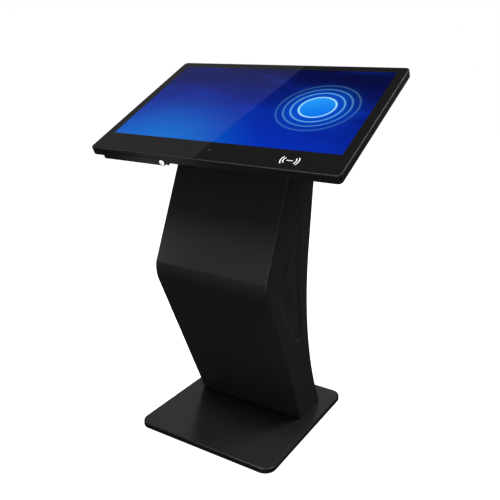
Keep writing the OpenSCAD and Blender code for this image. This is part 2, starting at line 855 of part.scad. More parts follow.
module cross_tubes() {
    color("gray") for (p = ties)
        translate([0, p[0], p[1]]) difference() {
            along_x(tube_r, -rib_x, rib_x);
            along_x(tube_r - 1.5, -rib_x - 1, rib_x + 1);
        }
}

module component_shelf() {
    front = meet([nose_y, nose_z] + (sheet + 1) * upper_in, upper_dir, [0, shelf_z], [1, 0])[0];
    color("gray") difference() {
        box([-shelf_half, front + 24, shelf_z], [shelf_half, rear_mid_y - 30, shelf_z + shelf_t]);
        translate([loom_hole[0], loom_hole[1], shelf_z - 1]) cylinder(r = cable_hole_r, h = 4);
    }
    color("gray") for (s = [-1, 1])
        box([s * (shelf_half - 1) - 1, front + 24, shelf_z - 15],
            [s * (shelf_half - 1) + 1, rear_mid_y - 30, shelf_z]);
}

module media_player() {
    color("#2b2b2e") translate([0, -55, shelf_z + shelf_t + 0.1]) difference() {
        linear_extrude(38) round_rect(180, 110, 8);
        for (i = [0 : 9])
            box([-60 + i * 12, -45, 36], [-56 + i * 12, 45, 39]);
        for (i = [0 : 3])
            box([-70 + i * 30, 50, 8], [-54 + i * 30, 56, 15]);
    }
}

module power_strip() {
    color("#e6e6e2") translate([0, 82, base_h + foot_t + 0.2]) difference() {
        linear_extrude(34) round_rect(230, 44, 6);
        for (i = [-2 : 2])
            translate([i * 40, 0, 26]) cylinder(r = 14, h = 9);
    }
}

// Sleeve round the leads that run from the power strip up to the head
module cable_loom() {
    color("#0c0c0c") swept_tube(smooth_route(loom_route, 4), loom_r, 10);
}

// Ring behind the door's opening that the door shuts against
module door_rebate() {
    out = 14;
    lip = 9;
    difference() {
        box([-door_w / 2 - out, -sheet - 2.6, door_low - out],
            [door_w / 2 + out, -sheet, door_low + door_h + out]);
        box([-door_w / 2 + lip, -10, door_low + lip], [door_w / 2 - lip, 1, door_low + door_h - lip]);
        box([-door_w / 2, -sheet - 0.4, door_low], [door_w / 2, 1, door_low + door_h]);
    }
}

module rear_panel() {
    half = side_x - sheet - 0.1;
    color("#161617") difference() {
        union() {
            upright(-half, half)
                polygon(concat(rear_line(0, base_h, back_depth + neck_gap),
                               reversed(rear_line(sheet, base_h, back_depth + neck_gap))));
            on_rear() door_rebate();
        }
        on_rear() box([-door_w / 2, -sheet - 0.4, door_low], [door_w / 2, 5, door_low + door_h]);
        on_rear_arc(inlet_z) {
            translate([inlet_x, 0, 0]) cube([28.4, 20, 20.4], center = true);
            translate([switch_x, 0, 0]) cube([22, 20, 19.4], center = true);
        }
        for (z = vent_zs)
            on_rear_arc(z) for (s = [-1, 1])
                translate([s * 70, 0, 0]) rotate([90, 0, 0])
                    linear_extrude(20, center = true) round_rect(90, 5, 2.4);
    }
}

module rear_door() {
    color("#1a1a1b") on_rear() difference() {
        union() {
            box([-door_w / 2 + door_gap, -sheet, door_low + door_gap],
                [door_w / 2 - door_gap, 0, door_low + door_h - door_gap]);
            // stiffening ribs inside
            for (s = [-1, 1])
                box([-door_w / 2 + 14, -sheet - 8, door_low + door_h / 2 + s * 105 - 1],
                    [door_w / 2 - 14, -sheet, door_low + door_h / 2 + s * 105 + 1]);
        }
        translate([lock_x, 0, lock_up]) along_y(lock_r + running, -sheet - 1, 1);
    }
}

// Hinge leaves: a strip on the surface, and knuckles at the stations given
module leaf(side, knuckles, bore) {
    difference() {
        union() {
            for (start = hinge_starts)
                translate([hinge_x, 0, start]) {
                    box([side > 0 ? knuckle_r + 0.4 : -19, 0, 0],
                        [side > 0 ? 19 : -knuckle_r - 0.4, 1.5, hinge_len]);
                    for (k = knuckles) {
                        translate([0, hinge_out, k[0]]) cylinder(r = knuckle_r, h = k[1] - k[0]);
                        box([side > 0 ? 0 : -knuckle_r - 0.5, 0, k[0]],
                            [side > 0 ? knuckle_r + 0.5 : 0, 1.5, k[1]]);
                    }
                }
        }
        for (start = hinge_starts)
            translate([hinge_x, hinge_out, start - 1]) cylinder(r = bore, h = hinge_len + 2);
    }
}

module door_leaves_fixed() {
    color("#3a3a3c") on_rear() leaf(-1, [[0, 18], [42, 60]], hinge_pin_r);
}

module door_leaves_moving() {
    color("#3a3a3c") on_rear() leaf(1, [[18.4, 41.6]], hinge_pin_r + running);
}

module door_hinge_pins() {
    color("silver") on_rear() for (start = hinge_starts)
        translate([hinge_x, hinge_out, start]) {
            cylinder(r = hinge_pin_r, h = hinge_len);
            translate([0, 0, hinge_len]) cylinder(r = knuckle_r - 0.5, h = 1.5);
        }
}

module door_lock() {
    color("#d8d8da") on_rear() translate([lock_x, 0, lock_up]) difference() {
        union() {
            along_y(lock_r + 2, 0.4, 2.4);
            along_y(lock_r, -sheet - 7, 0.5);
            // cam, pointing down: unlocked
            box([-6, -sheet - 9.5, -26], [6, -sheet - 7, 6]);
        }
        box([-0.8, 1.6, -4], [0.8, 3, 4]);
    }
}

module mains_inlet() {
    color("#101010") on_rear_arc(inlet_z) translate([inlet_x, 0, 0]) {
        difference() {
            union() {
                box([-25, 0.3, -11.5], [25, 2.3, 11.5]);
                box([-14, -22, -10], [14, 0.4, 10]);
            }
            box([-12, -14, -8], [12, 3, 8]);
            for (s = [-1, 1])
                translate([s * 20, 0, 0]) along_y(1.7, -1, 3);
        }
        for (p = [[-7, -2], [0, 2], [7, -2]])
            box([p[0] - 1, -15, p[1] - 2], [p[0] + 1, -1.5, p[1] + 2]);
    }
}

module switch_housing() {
    color("#101010") on_rear_arc(inlet_z) translate([switch_x, 0, 0]) difference() {
        union() {
            box([-13, 0.3, -11.5], [13, 2, 11.5]);
            box([-10.8, -15, -9.5], [10.8, 0.4, 9.5]);
        }
        box([-8.6, -13, -8.2], [8.6, 3, 8.2]);
        translate([0, -4, 0]) along_x(1.2 + running, -10.9, 10.9);
    }
}

module switch_rocker() {
    color("#202020") on_rear_arc(inlet_z) translate([switch_x, -4, 0]) rotate([rocker_rest, 0, 0]) {
        upright(-8.2, 8.2) polygon([[-3, -3], [-3, 3], [5.6, rocker_half], [4.4, 0], [5.6, -rocker_half]]);
        along_x(1.2, -10.4, 10.4);
    }
}

module foot_plate() {
    color("gray") difference() {
        box([-rib_x - rib_t, foot_front_y + 5, base_h + 0.1], [rib_x + rib_t, 145, base_h + foot_t]);
        for (p = foot_bolts)
            translate([p[0], p[1], base_h - 1]) cylinder(r = 4.2, h = foot_t + 2);
    }
}

// ---------- base ----------

module base_cover() {
    wall = cover_plate_t;
    color("#262628") difference() {
        translate([0, 0, skirt_gap])
            soft_plate(base_w, base_d, base_h - skirt_gap, base_corner_r, base_edge_r);
        translate([0, 0, skirt_gap - 1]) linear_extrude(base_h - skirt_gap - wall + 1)
            round_rect(base_w - 2 * wall, base_d - 2 * wall, base_corner_r - wall);
        for (p = foot_bolts)
            translate([p[0], p[1], 0]) cylinder(r = 4.2, h = base_h + 1);
    }
}

module ballast_plate() {
    margin = cover_plate_t + 2;
    color("dimgray") difference() {
        translate([0, 0, ballast_z]) linear_extrude(ballast_t - 0.1)
            round_rect(base_w - 2 * margin, base_d - 2 * margin, base_corner_r - margin);
        for (p = foot_bolts)
            translate([p[0], p[1], 0]) cylinder(r = 4, h = base_h);
    }
}

module rubber_feet() {
    color("#0a0a0a") for (p = pads)
        translate([p[0], p[1], 0]) cylinder(r = pad_r, h = ballast_z);
}

module base_bolts() {
    color("silver") for (p = foot_bolts)
        translate([p[0], p[1], 0]) {
            translate([0, 0, base_h + foot_t]) cylinder(r = 7.5, h = 5.3, $fn = 6);
            translate([0, 0, ballast_z]) cylinder(r = 3.9, h = base_h + foot_t - ballast_z + 1);
        }
}

// ---------- what is drawn ----------

cover_glass();
glass_gasket();
touch_sensor();
lcd_panel();
head_frame();
panel_rails();
standoffs();
mount_plate();
back_cover();
cover_screws();
mainboard();
backlight_driver();
power_supply();
fan_housing();
fan_rotor();
contactless_reader();
light_sensor();
io_box();
port_plate();
port_sockets();
power_button();
hatch_door();
hatch_pins();
hatch_lock();
top_plate();
neck_bolts();
front_panel();
left_side_panel();
right_side_panel();
left_grille();
right_grille();
left_speaker();
right_speaker();
left_cone();
right_cone();
left_rib();
right_rib();
cross_tubes();
component_shelf();
media_player();
power_strip();
cable_loom();
rear_panel();
rear_door();
door_leaves_fixed();
door_leaves_moving();
door_hinge_pins();
door_lock();
mains_inlet();
switch_housing();
switch_rocker();
foot_plate();
base_cover();
ballast_plate();
rubber_feet();
base_bolts();
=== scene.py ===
"""Looks of a free-standing touchscreen kiosk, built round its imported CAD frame.

Everything is in metres in the CAD frame: X to the visitor's right, Y to the back, Z up.
"""
import json
import logging
import math
from dataclasses import dataclass, field
from enum import Enum
from typing import Any, Callable, Union

import bmesh
import bpy
from mathutils import Matrix, Vector


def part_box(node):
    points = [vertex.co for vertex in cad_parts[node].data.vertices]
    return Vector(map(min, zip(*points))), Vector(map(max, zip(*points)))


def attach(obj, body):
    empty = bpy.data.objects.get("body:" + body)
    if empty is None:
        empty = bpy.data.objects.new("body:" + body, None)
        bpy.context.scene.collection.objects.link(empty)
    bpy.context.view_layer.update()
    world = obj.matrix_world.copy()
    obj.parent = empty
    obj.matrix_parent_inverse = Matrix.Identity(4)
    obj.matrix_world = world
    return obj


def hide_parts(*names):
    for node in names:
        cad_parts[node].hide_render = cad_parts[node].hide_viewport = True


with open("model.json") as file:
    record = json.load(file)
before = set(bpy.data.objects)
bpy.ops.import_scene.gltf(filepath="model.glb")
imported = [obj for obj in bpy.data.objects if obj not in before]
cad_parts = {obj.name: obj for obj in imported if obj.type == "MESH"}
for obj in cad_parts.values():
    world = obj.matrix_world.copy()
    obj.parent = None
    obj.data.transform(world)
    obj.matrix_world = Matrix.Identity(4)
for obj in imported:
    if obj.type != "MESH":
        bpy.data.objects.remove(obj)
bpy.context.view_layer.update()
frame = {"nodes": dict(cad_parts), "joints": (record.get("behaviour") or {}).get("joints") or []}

MM = 0.001
log = logging.getLogger("kiosk")

Colour = tuple[float, float, float]
Number = Union[float, "Socket"]


# ---------------------------------------------------------------- shader maths


class Socket:
    """An output of a shader node, worked with as if it were a number."""

    def __init__(self, nodes: "Nodes", link: bpy.types.NodeSocket) -> None:
        """Keeps the output and the node tree that new Math nodes go into.

        Args:
            nodes: The tree's builder.
            link: The output of a node in that tree.
        """
        self.nodes = nodes
        self.link = link

    def __add__(self, other: Number) -> "Socket":
        """This plus other."""
        return self.nodes.math("ADD", self, other)

    def __sub__(self, other: Number) -> "Socket":
        """This minus other."""
        return self.nodes.math("SUBTRACT", self, other)

    def __rsub__(self, other: Number) -> "Socket":
        """Other minus this."""
        return self.nodes.math("SUBTRACT", other, self)

    def __mul__(self, other: Number) -> "Socket":
        """This times other."""
        return self.nodes.math("MULTIPLY", self, other)

    def __pow__(self, power: float) -> "Socket":
        """This to a power."""
        return self.nodes.math("POWER", self, power)

    def __abs__(self) -> "Socket":
        """This without its sign."""
        return self.nodes.math("ABSOLUTE", self)

    __radd__ = __add__
    __rmul__ = __mul__


class Nodes:
    """A node tree that grows by one node at a time."""

    def __init__(self, tree: bpy.types.NodeTree) -> None:
        """Starts an empty tree.

        Args:
            tree: The tree of a material or a world.
        """
        self.tree = tree
        tree.nodes.clear()

    def node(
        self,
        kind: str,
        settings: dict[str, Any] | None = None,
        values: dict[int | str, Any] | None = None,
        output: int | str = 0,
    ) -> Socket:
        """Adds any node.

        Args:
            kind: The node's type, such as ShaderNodeTexNoise.
            settings: The node's own settings, which are set before its sockets.
            values: What goes into its sockets: numbers, colours or Socket links.
            output: The output to hand back.

        Returns:
            That output.
        """
        made = self.tree.nodes.new(kind)
        for name, value in (settings or {}).items():
            setattr(made, name, value)
        for name, value in (values or {}).items():
            if isinstance(value, Socket):
                self.tree.links.new(value.link, made.inputs[name])
            else:
                made.inputs[name].default_value = value
        return Socket(self, made.outputs[output])

    def math(self, operation: str, *values: Number) -> Socket:
        """Adds a Math node with an operation on one or more values."""
        return self.node("ShaderNodeMath", {"operation": operation}, dict(enumerate(values)))

    def step(self, value: Number, low: float, high: float) -> Socket:
        """Rises smoothly from 0 to 1, or falls where low is above high.

        Args:
            value: What is tested.
            low: Where the step is still 0.
            high: Where it is 1.

        Returns:
            The step as a mask.
        """
        rising = low < high
        ends = (low, high) if rising else (high, low)
        span = {"From Min": ends[0], "From Max": ends[1], "Value": value}
        made = self.node("ShaderNodeMapRange", {"interpolation_type": "SMOOTHSTEP"}, span)
        return made if rising else 1 - made

    def ridge(self, value: Socket, centre: float, half: float, soft: float) -> Socket:
        """1 within half of centre, fading to 0 over soft.

        Args:
            value: The distance or coordinate that is tested.
            centre: The middle of the ridge.
            half: Half its width.
            soft: The width of its fading edge.

        Returns:
            The ridge as a mask.
        """
        return self.step(abs(value - centre), half + soft, half)

    def mix(self, share: Number, a: Any, b: Any) -> Socket:
        """Mixes two colours.

        Args:
            share: How much of b.
            a: A colour or a link.
            b: A colour or a link.

        Returns:
            The mixed colour.
        """
        pair = [(*c, 1.0) if isinstance(c, tuple) else c for c in (a, b)]
        return self.node("ShaderNodeMix", {"data_type": "RGBA"}, {0: share, 6: pair[0], 7: pair[1]}, 2)

    def place(self) -> Socket:
        """The piece's own coordinates, in metres."""
        return self.node("ShaderNodeTexCoord", output="Object")

    def mapped(self, vector: Socket, scale: tuple[float, float, float]) -> Socket:
        """Coordinates stretched by a factor for each axis."""
        return self.node("ShaderNodeMapping", values={"Vector": vector, "Scale": scale})

    def noise(self, vector: Socket, size: float, detail: float = 2.0) -> Socket:
        """Cloudy noise, 0 to 1, whose blobs are about size across."""
        values = {"Vector": vector, "Scale": 1 / size, "Detail": detail}
        return self.node("ShaderNodeTexNoise", values=values, output="Fac")

    def cells(self, vector: Socket, size: float) -> Socket:
        """Distance pattern of cells that are about size across."""
        values = {"Vector": vector, "Scale": 1 / size}
        return self.node("ShaderNodeTexVoronoi", values=values, output="Distance")

    def distance(self, vector: Socket, place: tuple[float, float, float]) -> Socket:
        """How far a point is from a place."""
        return self.node("ShaderNodeVectorMath", {"operation": "DISTANCE"}, {0: vector, 1: place}, "Value")

    def axes(self, vector: Socket) -> tuple[Socket, Socket, Socket]:
        """Splits a vector.

        Args:
            vector: The vector.

        Returns:
            Its three coordinates.
        """
        first = self.node("ShaderNodeSeparateXYZ", values={"Vector": vector})
        outputs = first.link.node.outputs
        return first, Socket(self, outputs[1]), Socket(self, outputs[2])

    def bump(self, height: Socket, depth: float) -> Socket:
        """A normal from a height pattern that is depth high, in metres."""
        return self.node("ShaderNodeBump", values={"Height": height, "Distance": depth}, output="Normal")


class Shader(Nodes):
    """A material that ends in one Principled surface."""

    def __init__(self, name: str) -> None:
        """Makes the material.

        Args:
            name: The finish's name.
        """
        self.material = bpy.data.materials.new(name)
        self.material.use_nodes = True
        super().__init__(self.material.node_tree)

    def surface(self, **values: Any) -> bpy.types.Material:
        """Ends the material in a Principled surface.

        Args:
            **values: Its sockets, with underscores for the spaces in their names.

        Returns:
            The finished material.
        """
        named = {name.replace("_", " "): value for name, value in values.items()}
        self.finish(self.node("ShaderNodeBsdfPrincipled", values=named))
        return self.material

    def finish(self, surface: Socket) -> None:
        """Links a surface to the material's output."""
        made = self.tree.nodes.new("ShaderNodeOutputMaterial")
        self.tree.links.new(surface.link, made.inputs["Surface"])


def scaled(colour: Colour, factor: float) -> Colour:
    """A colour made lighter or darker."""
    return tuple(channel * factor for channel in colour)


# ---------------------------------------------------------------- finishes


@dataclass(frozen=True)
class Finish:
    """What every finish has: a name, a colour and how rough it is."""

    name: str
    colour: Colour
    roughness: float

    def material(self) -> bpy.types.Material:
        """Makes the finish's material."""
        raise NotImplementedError(self.name)


@dataclass(frozen=True)
class PowderCoat(Finish):
    """Baked powder paint: a pebbled skin with an uneven tone, and if wanted a rubbed rim over a side darkened
    with painted shade.
    """

    cloud: float = 160 * MM
    grain: float = 0.9 * MM
    relief: float = 0.05 * MM
    unevenness: float = 0.16
    gloss: float = 0.45
    rim: float = 0.0
    rim_depth: float = 3 * MM

    def material(self) -> bpy.types.Material:
        """Makes the paint.

        Returns:
            The paint's material.
        """
        s = Shader(self.name)
        at = s.place()
        cloud = s.noise(at, self.cloud, 3)
        pebble = s.noise(at, self.grain, 2)
        fleck = s.step(s.noise(at, self.grain * 0.45, 1), 0.62, 0.74)
        orange_peel = s.noise(at, self.grain * 4, 2)
        tone = cloud * 0.4 + pebble * 0.2 + orange_peel * 0.4
        low, high = 1 - self.unevenness, 1 + self.unevenness * 1.6
        colour = s.mix(tone, scaled(self.colour, low), scaled(self.colour, high))
        colour = s.mix(fleck * 0.35, colour, scaled(self.colour, 2.4))
        rough = (cloud - 0.5) * 0.12 + (pebble - 0.5) * 0.16 + self.roughness
        if self.rim:
            height = s.axes(at)[2]
            # painted shade: below the rim the paint darkens to 0.15 of its colour, standing in for the shade
            # on the base's side
            side = s.step(height, self.rim - self.rim_depth * 0.7, self.rim - self.rim_depth)
            colour = s.mix(side * 0.8, colour, scaled(self.colour, 0.15))
            edge = self.rim - self.rim_depth * 0.22
            rubbed = s.ridge(height, edge, self.rim_depth * 0.2, self.rim_depth * 0.15)
            rough = rough - rubbed * self.roughness * 0.45
        skin = s.bump(pebble + orange_peel * 1.5, self.relief)
        return s.surface(Base_Color=colour, Roughness=rough, Normal=skin, Specular_IOR_Level=self.gloss)


@dataclass(frozen=True)
class Metal(Finish):
    """Bare or plated metal with drawn scratches along one axis and a mottled tone."""

    drawn: tuple[float, float, float] = (1.0, 1.0, 1.0)
    scratch: float = 0.5 * MM
    mottle: float = 12 * MM
    stain: float = 70 * MM
    contrast: float = 0.18
    relief: float = 0.01 * MM

    def material(self) -> bpy.types.Material:
        """Makes the metal.

        Returns:
            The metal's material.
        """
        s = Shader(self.name)
        at = s.place()
        mottle = s.cells(at, self.mottle)
        scratch = s.noise(s.mapped(at, self.drawn), self.scratch, 3)
        stain = s.noise(at, self.stain, 4)
        tone = mottle * 0.5 + scratch * 0.3 + stain * 0.4
        low, high = 1 - self.contrast, 1 + self.contrast * 0.4
        colour = s.mix(tone, scaled(self.colour, low), scaled(self.colour, high))
        rough = (scratch - 0.5) * 0.18 + (stain - 0.5) * 0.12 + self.roughness
        drawn = s.bump(scratch, self.relief)
        return s.surface(Base_Color=colour, Metallic=1.0, Roughness=rough, Normal=drawn)


@dataclass(frozen=True)
class Moulding(Finish):
    """Moulded plastic or rubber with a spark-eroded grain."""

    grain: float = 0.6 * MM
    handling: float = 40 * MM
    relief: float = 0.03 * MM
    sheen: float = 0.0

    def material(self) -> bpy.types.Material:
        """Makes the moulded finish.

        Returns:
            The moulded finish's material.
        """
        s = Shader(self.name)
        at = s.place()
        grain = s.noise(at, self.grain, 2)
        handled = s.noise(at, self.handling, 3)
        colour = s.mix(handled, scaled(self.colour, 0.85), scaled(self.colour, 1.2))
        rough = (grain - 0.5) * 0.14 + (handled - 0.5) * 0.16 + self.roughness
        skin = s.bump(grain, self.relief)
        return s.surface(Base_Color=colour, Roughness=rough, Sheen_Weight=self.sheen, Normal=skin)


@dataclass(frozen=True)
class Foam(Finish):
    """Closed-cell foam: small open bubbles in a dull skin."""

    bubble: float = 0.7 * MM
    relief: float = 0.2 * MM

    def material(self) -> bpy.types.Material:
        """Makes the foam.

        Returns:
            The foam's material.
        """
        s = Shader(self.name)
        at = s.place()
        bubble = s.cells(at, self.bubble)
        colour = s.mix(bubble, scaled(self.colour, 0.4), scaled(self.colour, 1.5))
        rough = (bubble - 0.5) * 0.1 + self.roughness
        return s.surface(Base_Color=colour, Roughness=rough, Normal=s.bump(bubble, self.relief))


@dataclass(frozen=True)
class CircuitBoard(Finish):
    """Green solder mask over copper tracks, with plated pads."""

    track: float = 2.4 * MM
    relief: float = 0.04 * MM
    pad_colour: Colour = (0.62, 0.52, 0.3)

    def material(self) -> bpy.types.Material:
        """Makes the board.

        Returns:
            The board's material.
        """
        s = Shader(self.name)
        at = s.place()
        course = {"Vector": at, "Scale": 1 / (self.track * 4), "Mortar Size": 0.035, "Brick Width": 1.3}
        copper = s.node("ShaderNodeTexBrick", {"offset": 0.37}, course, "Fac")
        pad = s.step(s.cells(at, self.track * 2), 0.16, 0.12)
        cloud = s.noise(at, 0.02, 3)
        mask = s.mix(cloud, scaled(self.colour, 0.7), scaled(self.colour, 1.3))
        colour = s.mix(copper * 0.6, mask, scaled(self.colour, 2.6))
        colour = s.mix(pad, colour, self.pad_colour)
        rough = cloud * 0.12 + pad * 0.1 + self.roughness
        raised = s.bump(copper + pad, self.relief)
        return s.surface(Base_Color=colour, Metallic=pad * 0.9, Roughness=rough, Normal=raised)


@dataclass(frozen=True)
class Paper(Finish):
    """Pressed paper pulp with long fibres."""

    fibre: float = 1.4 * MM
    relief: float = 0.1 * MM

    def material(self) -> bpy.types.Material:
        """Makes the paper.

        Returns:
            The paper's material.
        """
        s = Shader(self.name)
        at = s.place()
        fibre = s.noise(s.mapped(at, (1.0, 3.5, 1.0)), self.fibre, 4)
        colour = s.mix(fibre, scaled(self.colour, 0.6), scaled(self.colour, 2.2))
        rough = (fibre - 0.5) * 0.1 + self.roughness
        return s.surface(Base_Color=colour, Roughness=rough, Normal=s.bump(fibre, self.relief))


@dataclass(frozen=True)
class Sleeve(Finish):
    """Braided sleeve: two crossing sets of bands, seen from any side."""

    band: float = 2.2 * MM
    relief: float = 0.25 * MM

    def material(self) -> bpy.types.Material:
        """Makes the sleeve.

        Returns:
            The sleeve's material.
        """
        s = Shader(self.name)
        x, y, z = s.axes(s.place())
        turn = 2 * math.pi / self.band
        one = s.math("SINE", (x + y + z) * turn)
        other = s.math("SINE", (x - y + z * 0.8) * turn)
        weave = one * other * 0.5 + 0.5
        colour = s.mix(weave, scaled(self.colour, 0.5), scaled(self.colour, 2.4))
        rough = (weave - 0.5) * 0.2 + self.roughness
        return s.surface(Base_Color=colour, Roughness=rough, Normal=s.bump(weave, self.relief))


@dataclass(frozen=True)
class Ink(Finish):
    """Pale printed ink with a little pinhole texture, and a painted glow of its own colour."""

    pinhole: float = 0.5 * MM
    relief: float = 0.01 * MM
    # strength of the ink's painted glow
    glow: float = 0.35

    def material(self) -> bpy.types.Material:
        """Makes the ink.

        Returns:
            The ink's material.
        """
        s = Shader(self.name)
        at = s.place()
        pinhole = s.noise(at, self.pinhole, 2)
        colour = s.mix(pinhole, scaled(self.colour, 0.86), scaled(self.colour, 1.06))
        # painted glow: the ink gives off its own colour at strength glow, though it is no lamp
        return s.surface(
            Base_Color=colour, Roughness=(pinhole - 0.5) * 0.1 + self.roughness,
            Normal=s.bump(pinhole, self.relief), Emission_Color=colour, Emission_Strength=self.glow,
        )


@dataclass(frozen=True)
class LitGlass(Finish):
    """Cover glass: printed black round a lit picture, which is a touch ripple on deep blue."""

    origin: Vector = field(default_factory=Vector)
    tilt: float = 0.0
    half_width: float = 0.35
    half_height: float = 0.2
    ripple_at: tuple[float, float] = (0.2, 0.0)
    disc: float = 0.05
    rings: tuple[tuple[float, float], ...] = ((0.072, 0.55), (0.092, 0.3), (0.112, 0.15))
    picture_edge: float = 0.4 * MM
    unlit: Colour = (0.001, 0.001, 0.002)
    slope: tuple[Colour, Colour] = ((0.001, 0.004, 0.085), (0.0, 0.026, 0.45))
    night: tuple[Colour, Colour] = ((0.0, 0.001, 0.03), (0.0, 0.009, 0.24))
    dawn: Colour = (0.0, 0.17, 0.62)
    dawn_at: tuple[float, float] = (-0.2, -0.3)
    drift: Colour = (0.0, 0.05, 0.6)
    glow: Colour = (0.0, 0.12, 0.85)
    disc_colours: tuple[Colour, Colour] = ((0.0, 0.16, 0.82), (0.02, 0.36, 0.98))
    rim_colour: Colour = (0.42, 0.85, 1.0)
    ring_colour: Colour = (0.2, 0.66, 1.0)

    def material(self) -> bpy.types.Material:
        """Makes the glass.

        Returns:
            The glass's material.
        """
        s = Shader(self.name)
        at = s.place()
        turned = {"Vector": at, "Location": self.origin, "Rotation": (self.tilt, 0.0, 0.0)}
        local = s.node("ShaderNodeMapping", {"vector_type": "TEXTURE"}, turned)
        x, y, _ = s.axes(local)
        within = s.step(abs(x), self.half_width + self.picture_edge, self.half_width)
        lit = within * s.step(abs(y), self.half_height + self.picture_edge, self.half_height)
        smear = s.noise(at, 50 * MM, 3)
        picture = self.picture(s, local, x, y)
        border = s.mix(smear, scaled(self.colour, 0.8), scaled(self.colour, 1.2))
        return s.surface(
            Base_Color=s.mix(lit, border, self.unlit),
            Roughness=smear * 0.01 + self.roughness,
            Emission_Color=s.mix(lit, (0.0, 0.0, 0.0), picture),
            Emission_Strength=1.0,
            Normal=s.bump(s.noise(at, 90 * MM, 1), 0.02 * MM),
        )

    def picture(self, s: Shader, local: Socket, x: Socket, y: Socket) -> Socket:
        """The picture's colours: a deep blue slope of light, and rings round a bright disc.

        Args:
            s: The shader.
            local: Coordinates on the glass, from the picture's centre.
            x: The first of them.
            y: The second of them.

        Returns:
            The colour that the picture gives off.
        """
        down = s.step(y, self.half_height, -self.half_height * 1.15)
        night = s.step(x + y * 0.8, -0.05, 0.42)
        colour = s.mix(down, *self.slope)
        colour = s.mix(night * 0.9, colour, s.mix(down, *self.night))
        dawn = s.distance(local, (*self.dawn_at, 0.0))
        colour = s.mix(s.step(dawn, 0.36, 0.02), colour, self.dawn)
        drift = s.noise(s.mapped(local, (1.0, 2.6, 1.0)), 0.22, 2)
        colour = s.mix(s.step(drift, 0.45, 0.8) * 0.3, colour, self.drift)
        reach = s.distance(local, (*self.ripple_at, 0.0))
        glow = s.step(reach, self.disc * 3.2, self.disc * 0.5) ** 2.0
        colour = s.mix(glow * 0.75, colour, self.glow)
        fill = s.step(reach, self.disc + 0.5 * MM, self.disc - 0.5 * MM)
        inner = s.step(y - x * 0.4, -0.16, 0.02)
        colour = s.mix(fill, colour, s.mix(inner, *self.disc_colours))
        rim = s.ridge(reach, self.disc, 1.2 * MM, 2.4 * MM)
        colour = s.mix(rim * 0.9, colour, self.rim_colour)
        for radius, share in self.rings:
            ring = s.ridge(reach, radius, 0.8 * MM, 3.2 * MM)
            colour = s.mix(ring * share, colour, self.ring_colour)
        return colour


# ---------------------------------------------------------------- places and shapes


@dataclass(frozen=True)
class LocalFrame:
    """Three axes and an origin that a sub-assembly is drawn in."""

    origin: Vector
    across: Vector
    along: Vector
    out: Vector

    def matrix(self) -> Matrix:
        """Takes local coordinates to the CAD frame."""
        turn = Matrix((self.across, self.along, self.out)).transposed().to_4x4()
        return Matrix.Translation(self.origin) @ turn

    def at(self, x: float, y: float, z: float) -> Vector:
        """A local point in the CAD frame."""
        return self.matrix() @ Vector((x, y, z))

    def extents(self, node: str) -> tuple[Vector, Vector]:
        """Finds the lowest and highest local corner of a CAD node.

        Args:
            node: The node's name.

        Returns:
            The two corners.
        """
        back = self.matrix().inverted()
        points = [back @ v.co for v in frame["nodes"][node].data.vertices]
        low = Vector(min(p[i] for p in points) for i in range(3))
        high = Vector(max(p[i] for p in points) for i in range(3))
        return low, high


def joint_axis(name: str) -> Vector:
    """The axis of one of the record's joints."""
    return Vector(next(j["axis"] for j in frame["joints"] if j["name"] == name)).normalized()


def head_frame_axes() -> LocalFrame:
    """The head's own frame: x to the right, y up the slope, z out of the glass, from the picture's centre.

    Returns:
        The frame.
    """
    out = joint_axis("fan_spin")
    along = joint_axis("hatch_lock_turn")
    loose = LocalFrame(Vector(), Vector((1, 0, 0)), along, out)
    low, high = loose.extents("lcd_panel")
    glass_top = loose.extents("cover_glass")[1].z
    centre = (low + high) / 2
    origin = loose.at(centre.x, centre.y, glass_top)
    return LocalFrame(origin, loose.across, along, out)


WORLD = LocalFrame(Vector(), Vector((1, 0, 0)), Vector((0, 1, 0)), Vector((0, 0, 1)))
HEAD = head_frame_axes()


class Axis(Enum):
    """One of the three local axes."""

    X = 0
    Y = 1
    Z = 2


class Side(Enum):
    """Which side of the pedestal."""

    LEFT = -1
    RIGHT = 1


